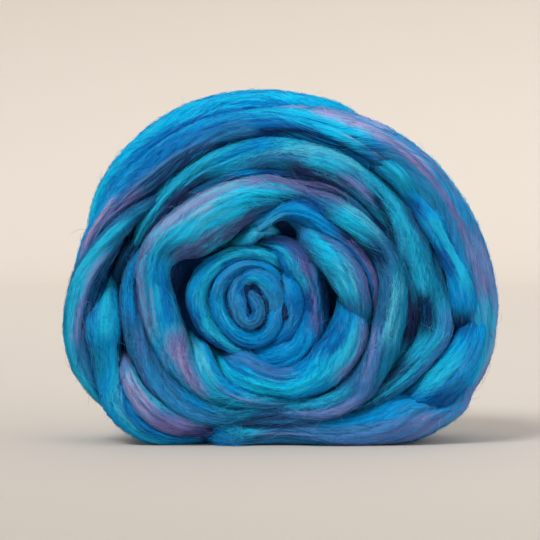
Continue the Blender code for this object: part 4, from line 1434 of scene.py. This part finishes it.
def strand_grid(one):
    """The turns of a strand's rows, the angles of its columns, and its girth in mm."""
    length = one.reach[1][-1]
    rows = max(LEAST_ROWS, int(length / ROW_MM))
    turns = turn_at(one, np.linspace(0, length, rows + 1 if one.closed else rows))
    if one.closed:
        turns = turns[:-1]
    place = one.course(turns)
    girth = np.pi * (place.half.max() + place.half_depth.max())
    columns = int(girth / COLUMN_MM / 2) * 2
    return turns, section_angles(columns, one.faces_back, np.arange(columns)), girth


def lengthwise_map(one, places, rows, columns, girth):
    """Metres along a strand and around it at places on its grid, following its fibres."""
    row_mm = one.reach[1][-1] / (rows if one.closed else rows - 1)
    slid = slide(one, turn_at(one, np.arange(rows + 1) * row_mm))
    around = section_angles(columns, one.faces_back, places[:, 1])
    around = around + np.interp(places[:, 0], np.arange(rows + 1), slid)
    return np.stack([places[:, 0] * row_mm, around * girth / (2 * np.pi)], axis=1) / 1000


first_turns, first_sections, first_girth = strand_grid(STRANDS[0])
print(f"{STRANDS[0].name}: {len(first_turns)} rows of {len(first_sections)}, "
      f"{first_girth:.0f} mm round")

# %% Colours and maps of a mesh
BAKE_MARGIN = 0.006  # left free round the square


def colour_attribute(mesh, name, colours):
    """A colour for each vertex, in linear red, green and blue."""
    attribute = mesh.attributes.new(name, "FLOAT_COLOR", "POINT")
    rgba = np.concatenate([colours, np.ones((len(colours), 1))], axis=1)
    attribute.data.foreach_set("color", rgba.astype(np.float32).ravel())


def texture_map(mesh, name, places):
    """A place on a texture for each corner of each face."""
    layer = mesh.uv_layers.new(name=name)
    layer.data.foreach_set("uv", places.astype(np.float32).ravel())


def in_square(places, rows, columns):
    """Places on a grid, scaled into the square from 0 to 1 and inside its margin."""
    return BAKE_MARGIN + (1 - 2 * BAKE_MARGIN) * places / np.array([rows, columns])


def with_poles(values, rows, columns):
    """A grid's values, followed by the means of its first and of its last row."""
    grid = values.reshape(rows, columns, -1)
    return np.concatenate([values, grid[[0]].mean(axis=1), grid[[-1]].mean(axis=1)])


print("a grid of 2 by 3 has", len(with_poles(np.zeros((6, 1)), 2, 3)), "values with its poles")

# %% Build the strands
def build_strand(one):
    """A strand's mesh with its maps, its two colours and its wool."""
    turns, sections, girth = strand_grid(one)
    rows, columns = len(turns), len(sections)
    turn, section = np.meshgrid(turns, sections, indexing="ij")
    points = skin(one, turn, section).reshape(-1, 3)
    main, other = (colours.reshape(-1, 3) for colours in skin_colours(one, turn, section))
    corners, grid = grid_faces(rows, columns, one.closed, True)
    faces, places = [corners], grid.reshape(-1, 2)
    if not one.closed:
        fans, fan_grid = end_fans(rows, columns)
        faces.append(fans)
        places = np.concatenate([places, fan_grid.reshape(-1, 2)])
        points, main, other = (with_poles(v, rows, columns) for v in (points, main, other))
    piece = mesh_object(one.name, points, *faces)
    texture_map(piece.data, "lengthwise", lengthwise_map(one, places, rows, columns, girth))
    texture_map(piece.data, "OFBake", in_square(places, rows, columns))
    colour_attribute(piece.data, "dye", main)
    colour_attribute(piece.data, "other_dye", other)
    piece.data.materials.append(combed_wool("combed_wool_" + one.name, one.seed % 50))
    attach(piece, "root")
    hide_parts("roving_ball")
    return piece


total = sum(triangles(build_strand(one)) for one in STRANDS)
print(f"{len(STRANDS)} pieces, {total} triangles, {time.perf_counter() - started:.1f} s")

# %% [markdown]
# ## The wool inside
#
# Between the laps one sees down to more wool, packed and in shade. It is one closed form
# behind them all: rings that follow the outline, a share of the way out, front and back. It is
# wool of the same blues, but its dark navy front is painted shade for the deep pits.

# %% Form of the core
# Share of the way out to the outline, and depth in mm, from the front to the back
FILLING = (
    (0.02, -46), (0.15, -44), (0.25, -30), (0.34, -20), (0.50, -34), (0.80, -28),
    (0.91, -10), (0.91, 20), (0.82, 40), (0.55, 46), (0.25, 45), (0.02, 42),
)
CORE_STEPS, CORE_SPOKES = 50, 90
LUMP_MM, LUMPS, LUMP_TWIST = 1.2, 7, 40
CORE_CLEARANCE = 0.002  # above the floor, in metres
core_rows = [(step, share, depth) for step, (share, depth) in enumerate(FILLING)]
core_profile = smooth_columns(core_rows, np.linspace(0, len(FILLING) - 1, CORE_STEPS))
core_share, core_depth = core_profile[:, None, 0], core_profile[:, None, 1]
core_turn = np.arange(CORE_SPOKES)[None] * (360 / CORE_SPOKES)
core_reach = silhouette(core_turn) * core_share
uneven = LUMP_MM * np.sin(np.radians(core_turn * LUMPS) + core_share * LUMP_TWIST)
core_height = core_reach * np.sin(np.radians(core_turn)) * UP + EYE_UP
core_points = np.stack([
    core_reach * np.cos(np.radians(core_turn)) * ACROSS - EYE_LEFT,
    (core_depth + uneven) * DEEP,
    np.maximum(core_height, CORE_CLEARANCE),
], axis=-1).reshape(-1, 3)
print(f"core: {CORE_STEPS} rings of {CORE_SPOKES} points")

# %% Colour of the core
# Navy with soft patches of dusk at the front, turning royal towards the back: the dark front is
# painted shade for the wool deep in the pits
PATCHES_AROUND, PATCHES_OUTWARDS = 0.12, 30
ROYAL_FROM, ROYAL_FULL = -32.0, -12.0  # depths in mm
patches = soft_step(
    np.sin(core_turn * PATCHES_AROUND + core_share * PATCHES_OUTWARDS), -0.4, 0.8)[..., None]
to_back = soft_step(core_depth, ROYAL_FROM, ROYAL_FULL)[..., None]
core_colour = DYES["navy"] * (1 - patches) + DYES["dusk"] * patches
core_colour = (core_colour * (1 - to_back) + DYES["royal"] * to_back).reshape(-1, 3)
print("core colours from", core_colour.min(axis=0).round(3), "to", core_colour.max(axis=0).round(3))

# %% Build the core
CORE_PLACE = (0.010, 0.008)  # what a spoke and a ring count for on its map, in metres
CORE_OTHER = 1.6  # how much lighter its other dye is
CORE_PATTERN = 7
core_corners, core_grid = grid_faces(CORE_STEPS, CORE_SPOKES, False, True)
core_fans, core_fan_grid = end_fans(CORE_STEPS, CORE_SPOKES)
core_points = with_poles(core_points, CORE_STEPS, CORE_SPOKES)
core_colour = with_poles(core_colour, CORE_STEPS, CORE_SPOKES)
core_places = np.concatenate([core_grid.reshape(-1, 2), core_fan_grid.reshape(-1, 2)])
core = mesh_object("packed_core", core_points, core_corners, core_fans)
texture_map(core.data, "lengthwise", core_places[:, ::-1] * np.array(CORE_PLACE))
colour_attribute(core.data, "dye", core_colour)
colour_attribute(core.data, "other_dye", core_colour * CORE_OTHER)
core.data.materials.append(combed_wool("combed_wool_core", CORE_PATTERN))
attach(core, "root")
total += triangles(core)
print(f"packed_core: {triangles(core)} triangles")

# %% [markdown]
# ## Loose fibres
#
# What makes wool look soft is its loose fibres: short ones that lie almost flat on the skin
# everywhere, longer ones that stand off it and cross a crease, and a fine fuzz along the
# outline. Hair curves could draw them, but this model has to leave Blender as meshes. So
# each fibre is a thin tube with three sides and two points, which follows the strand, lifts
# off it and comes back or ends in the air. All the fibres of a strand are worked out at
# once, as arrays of fibre, station and side.

# %% Ways of growing
# How many rings a tube has, the least and the greatest length in mm, the usual slant in
# radians and curl in mm, the least and the greatest lift and radius in mm, the share of the
# section on which it grows, how light it is, and whether it leaves the skin.
Growth = namedtuple("Growth", "rings length slant curl lift radius spread tone floats")
FUZZ = Growth(3, (5, 14), 0.34, 0.85, (0.1, 0.9), (0.10, 0.17), 0.42, (0.85, 1.75), False)
STRAY = Growth(6, (14, 40), 0.34, 1.50, (0.5, 3.0), (0.06, 0.10), 0.50, (1.1, 2.0), False)
BRIDGE = Growth(6, (14, 34), 0.55, 1.1, (0.2, 1.6), (0.06, 0.10), 0.30, (0.9, 1.6), True)
TANGLE = Growth(8, (9, 22), 1.50, 3.4, (0.5, 4.0), (0.07, 0.10), 0.34, (1.5, 2.6), True)
HALO = Growth(1, (2.5, 6), 0.90, 0.30, (0.3, 2.0), (0.05, 0.08), 0.10, (1.0, 1.6), False)
# The part of the section that shows on a strand which shows its outer edge: the angle of its
# middle and how far it reaches to each side, in radians
SHOWING = {
    "outer_lap": (0.6, 2.0), "rim_wrap_front": (-0.6, 0.6), "rim_wrap_rear": (-0.2, 1.3),
    "rear_top_lap": (0.3, 1.5),
}
FREE_END_MM = 4.0  # fibres that follow the skin keep about so far from a strand's ends


def growing_part(one, growth):
    """The angle round the section about which fibres grow, and how far to each side."""
    if growth is HALO:
        return 0.0, np.pi * growth.spread
    front = -np.pi / 2 if one.faces_back else np.pi / 2
    return SHOWING.get(one.name, (front, np.pi * growth.spread))


def station_turns(one, middle, size, steps):
    """The turn at each station of each fibre, from the fibres' middles and sizes in mm."""
    length = one.reach[1][-1]
    along = middle[:, None] + size[:, None] * steps
    if one.closed:
        return turn_at(one, np.mod(along, length))
    return turn_at(one, np.clip(along, FREE_END_MM, length - FREE_END_MM) + steps)


print("fuzz is", FUZZ.length[0], "to", FUZZ.length[1], "mm long")

# %% Paths of the fibres
CLOSE_PITCH, FLOATING_PITCH = (4, 11), (5, 14)  # how fast a curl swings, in radians a fibre
PHASES = (0, 6.3)  # about a whole turn
AHEAD_TURN = 0.2  # how far ahead the strand's direction is measured, in degrees or steps


def swings(chance, pitch, steps, count):
    """A sine along each fibre, of random pitch and phase."""
    pitches = chance.uniform(*pitch, count)[:, None]
    return np.sin(steps * pitches + chance.uniform(*PHASES, count)[:, None])


def close_path(one, growth, chance, turn, section, steps, size):
    """Stations of fibres that follow the skin, the skin's direction there, and the sections.

    A fibre slides round the section as the strand's own do. To that it adds a slant, which
    grows evenly along it, and a curl, which is a sine.
    """
    count = len(size)
    slant = chance.normal(0, growth.slant, count)[:, None] * steps * size[:, None]
    strength = chance.normal(0, growth.curl, count)[:, None]
    curl = strength * swings(chance, CLOSE_PITCH, steps, count)
    place = one.course(turn)
    radius = (place.half + place.half_depth) / 2
    slid = slide(one, turn)
    follow = slid[:, [slid.shape[1] // 2]] - slid
    section = section[:, None] + follow + (slant + curl) / radius
    points = skin(one, turn, section)
    return points, skin_normal(one, turn, section, points), section


def floating_path(one, growth, chance, turn, section, steps, size):
    """Stations of fibres that leave the skin and run straight on over the creases.

    A fibre is a straight line that touches the skin at its middle, plus two sines aside.
    """
    count = len(size)
    turn, section = turn[:, [turn.shape[1] // 2]], section[:, None]
    start = skin(one, turn, section)
    normal = skin_normal(one, turn, section, start)
    along = unit(skin(one, turn + AHEAD_TURN, section) - start)
    aside = unit(np.cross(normal, along))
    angle = chance.normal(0, growth.slant, count)[:, None, None]
    reach = (steps * size[:, None] / 1000)[..., None]
    path = start + (along * np.cos(angle) + aside * np.sin(angle)) * reach
    for _ in range(2):
        wave = swings(chance, FLOATING_PITCH, steps, count)
        strength = chance.normal(0, growth.curl, count)[:, None] / 1000
        path = path + (aside * np.cos(angle) - along * np.sin(angle)) * (wave * strength)[..., None]
    forward = np.array([0.0, 1.0 if one.faces_back else -1.0, 0.0])
    return path, np.broadcast_to(unit(normal + forward), path.shape), section


print(f"a curl swings up to {FLOATING_PITCH[1] / 2 / math.pi:.1f} times")

# %% Tubes
def tubes(points, normal, radius):
    """The vertices of thin tubes along rows of stations: rings of three, then two points."""
    tangent = unit(np.gradient(points, axis=1))
    side = unit(np.cross(normal, tangent))
    upward = np.cross(tangent, side)
    angles = (np.arange(3) * 2 * np.pi / 3)[:, None]
    ring = side[:, 1:-1, None] * np.cos(angles) + upward[:, 1:-1, None] * np.sin(angles)
    rings = (points[:, 1:-1, None] + ring * radius).reshape(len(points), -1, 3)
    return np.concatenate([rings, points[:, [0]], points[:, [-1]]], axis=1)


def tube_faces(count, rings):
    """The triangles of every tube: two for each side of a stretch, and three at each point."""
    ring, side = np.meshgrid(np.arange(rings - 1), np.arange(3), indexing="ij")
    a = (ring * 3 + side).ravel()
    b = (ring * 3 + (side + 1) % 3).ravel()
    start, end, last = rings * 3, rings * 3 + 1, rings * 3 - 3
    one_tube = np.concatenate([
        np.stack([a, b, b + 3], axis=1),
        np.stack([a, b + 3, a + 3], axis=1),
        [[1, 0, start], [2, 1, start], [0, 2, start]],
        [[last, last + 1, end], [last + 1, last + 2, end], [last + 2, last, end]],
    ])
    return (one_tube[None] + (np.arange(count) * (start + 2))[:, None, None]).reshape(-1, 3)


print("a short fibre has", len(tube_faces(1, FUZZ.rings)), "triangles")

# %% Fibres of a strand
THIN_MM, THIN_SHARE = 14, 0.6  # on a strand thinner than this, fibres are shorter
ROOT_MM = 0.05  # how deep a fibre starts in the skin
LEAST_HEIGHT = 0.0004  # above the floor, in metres
LIGHT_FLOOR = 0.004  # no fibre is darker


def fibres_on(one, growth, count, seed, first, last):
    """The points and colours of a strand's loose fibres, between two shares of its length.

    A fibre stands off the skin by a parabola, highest at its middle or at its free end.
    """
    chance = np.random.default_rng(seed)
    length = one.reach[1][-1]
    middle = chance.uniform(first * length, last * length, count)
    facing, spread = growing_part(one, growth)
    section = facing + chance.uniform(-1, 1, count) * spread
    size = chance.uniform(*growth.length, count) * (THIN_SHARE if one.width < THIN_MM else 1.0)
    steps = np.linspace(-0.5, 0.5, growth.rings + 2)
    turn = station_turns(one, middle, size, steps)
    path = floating_path if growth.floats else close_path
    points, normal, section = path(one, growth, chance, turn, section, steps, size)
    free_end = chance.uniform(0, 1, count) < 0.5
    arc = np.where(free_end[:, None], (steps + 0.5) ** 2, 1 - (2 * steps) ** 2)
    rise = chance.uniform(*growth.lift, count)[:, None] * arc - ROOT_MM
    points = points + normal * (rise / 1000)[..., None]
    points[..., 2] = np.maximum(points[..., 2], LEAST_HEIGHT)
    radius = chance.uniform(*growth.radius, count)[:, None, None, None] / 1000
    tube = tubes(points, normal, radius)
    at = turn[:, [turn.shape[1] // 2]], section[:, [section.shape[1] // 2]]
    # painted shade: a fibre takes half of its strand's flank shade
    lit = (1 + flank_shade(one, at[1])) / 2
    tone = chance.uniform(*growth.tone, count)[:, None] * lit
    colour = np.repeat(dyed(one, *at) * tone[..., None] + LIGHT_FLOOR, tube.shape[1], axis=1)
    return tube.reshape(-1, 3), np.clip(colour, 0, 1).reshape(-1, 3)


print("ten fibres have", len(fibres_on(STRANDS[0], FUZZ, 10, 0, 0.0, 1.0)[0]), "points")

# %% Fibre material
FIBRE_ROUGHNESS, FIBRE_SPECULAR = 0.75, 0.1
loose, loose_wiring, loose_shader = plain_material("loose_fibre")
loose_dye = loose_wiring.add("ShaderNodeAttribute", {"attribute_name": "dye"})
loose_wiring.tree.links.new(loose_dye.outputs["Color"], loose_shader.inputs["Base Color"])
loose_shader.inputs["Roughness"].default_value = FIBRE_ROUGHNESS
loose_shader.inputs["Specular IOR Level"].default_value = FIBRE_SPECULAR
print(f"{loose.name}: {len(loose.node_tree.nodes)} nodes")

# %% [markdown]
# ## Where the fibres grow
#
# Fibres of strands that lie together form one piece, so that no piece is too heavy and the
# list stays short. Whole strands share out their group's fibres by their area. A snarl at the
# bottom and the fuzz along the outline grow only on stretches, between two turns.

# %% Build the fibres
# How many short fibres each group has, and its strands
FIBRE_GROUPS = {
    "fibres_outer": (7600, ("outer_lap", "azure_bundle", "rear_top_lap", "right_fan",
                            "bottom_lap", "left_strand", "left_bulge", "lower_left_lap")),
    "fibres_middle": (7600, ("second_lap", "third_lap", "big_ring")),
    "fibres_inner": (7600, ("bright_lap", "bright_loop", "lower_inner_lap",
                            "arch", "inner_right_bulge", "curl", "roll_fifth_turn",
                            "roll_right_turn", "roll_fourth_turn", "roll_third_turn",
                            "tucked_end")),
    "fibres_rim": (3300, ("rim_wrap_front", "rim_wrap_rear")),
    "fibres_back": (3000, ("back_spiral",)),
}
PER_SHORT_FIBRE = ((FUZZ, 1.0), (STRAY, 0.07), (BRIDGE, 0.10))
# Strand, first and last turn, and how many fibres
TANGLES = (("bottom_lap", 255, 264, 240),)
HALOS = (
    ("rear_top_lap", 40, 176, 1000), ("outer_lap", -36, 66, 900), ("outer_lap", 150, 176, 150),
    ("left_strand", 160, 215, 350), ("left_bulge", 205, 250, 200), ("bottom_lap", 306, 350, 400),
)
FIRST_SEED, SEED_STEP = 300, 17
by_name = {one.name: one for one in STRANDS}


def on_whole_strands(count, members):
    """Batches of every usual growth on whole strands, shared out by their area."""
    area = [by_name[member].reach[1][-1] * by_name[member].width for member in members]
    return [
        (member, growth, int(count * share * area[k] / sum(area)), 0.0, 1.0)
        for k, member in enumerate(members) for growth, share in PER_SHORT_FIBRE
    ]


def on_stretches(growth, stretches):
    """Batches of one growth, each on a strand between two turns."""
    batches = []
    for member, first, last, count in stretches:
        one = by_name[member]
        shares = (length_at(one, turn) / one.reach[1][-1] for turn in (first, last))
        batches.append((member, growth, count, *shares))
    return batches


def fibre_piece(name, batches):
    """One piece of many fibres. A batch is a strand, how they grow, how many, and where."""
    points, colours, faces, offset = [], [], [], 0
    for k, (member, growth, count, first, last) in enumerate(batches):
        seed = FIRST_SEED + SEED_STEP * k + sum(name.encode())
        place, colour = fibres_on(by_name[member], growth, count, seed, first, last)
        faces.append(tube_faces(count, growth.rings) + offset)
        offset += len(place)
        points.append(place)
        colours.append(colour)
    piece = mesh_object(name, np.concatenate(points), np.concatenate(faces))
    colour_attribute(piece.data, "dye", np.concatenate(colours))
    piece.data.materials.append(loose)
    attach(piece, "root")
    print(f"{name}: {triangles(piece)} triangles")
    return triangles(piece)


for group, (count, members) in FIBRE_GROUPS.items():
    total += fibre_piece(group, on_whole_strands(count, members))
total += fibre_piece("fibres_tangled", on_stretches(TANGLE, TANGLES))
total += fibre_piece("fibres_halo", on_stretches(HALO, HALOS))
print(f"{total} triangles in all, without the floor")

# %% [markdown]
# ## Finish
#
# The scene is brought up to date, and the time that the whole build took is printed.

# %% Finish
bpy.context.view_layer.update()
print(f"done in {time.perf_counter() - started:.1f} s")
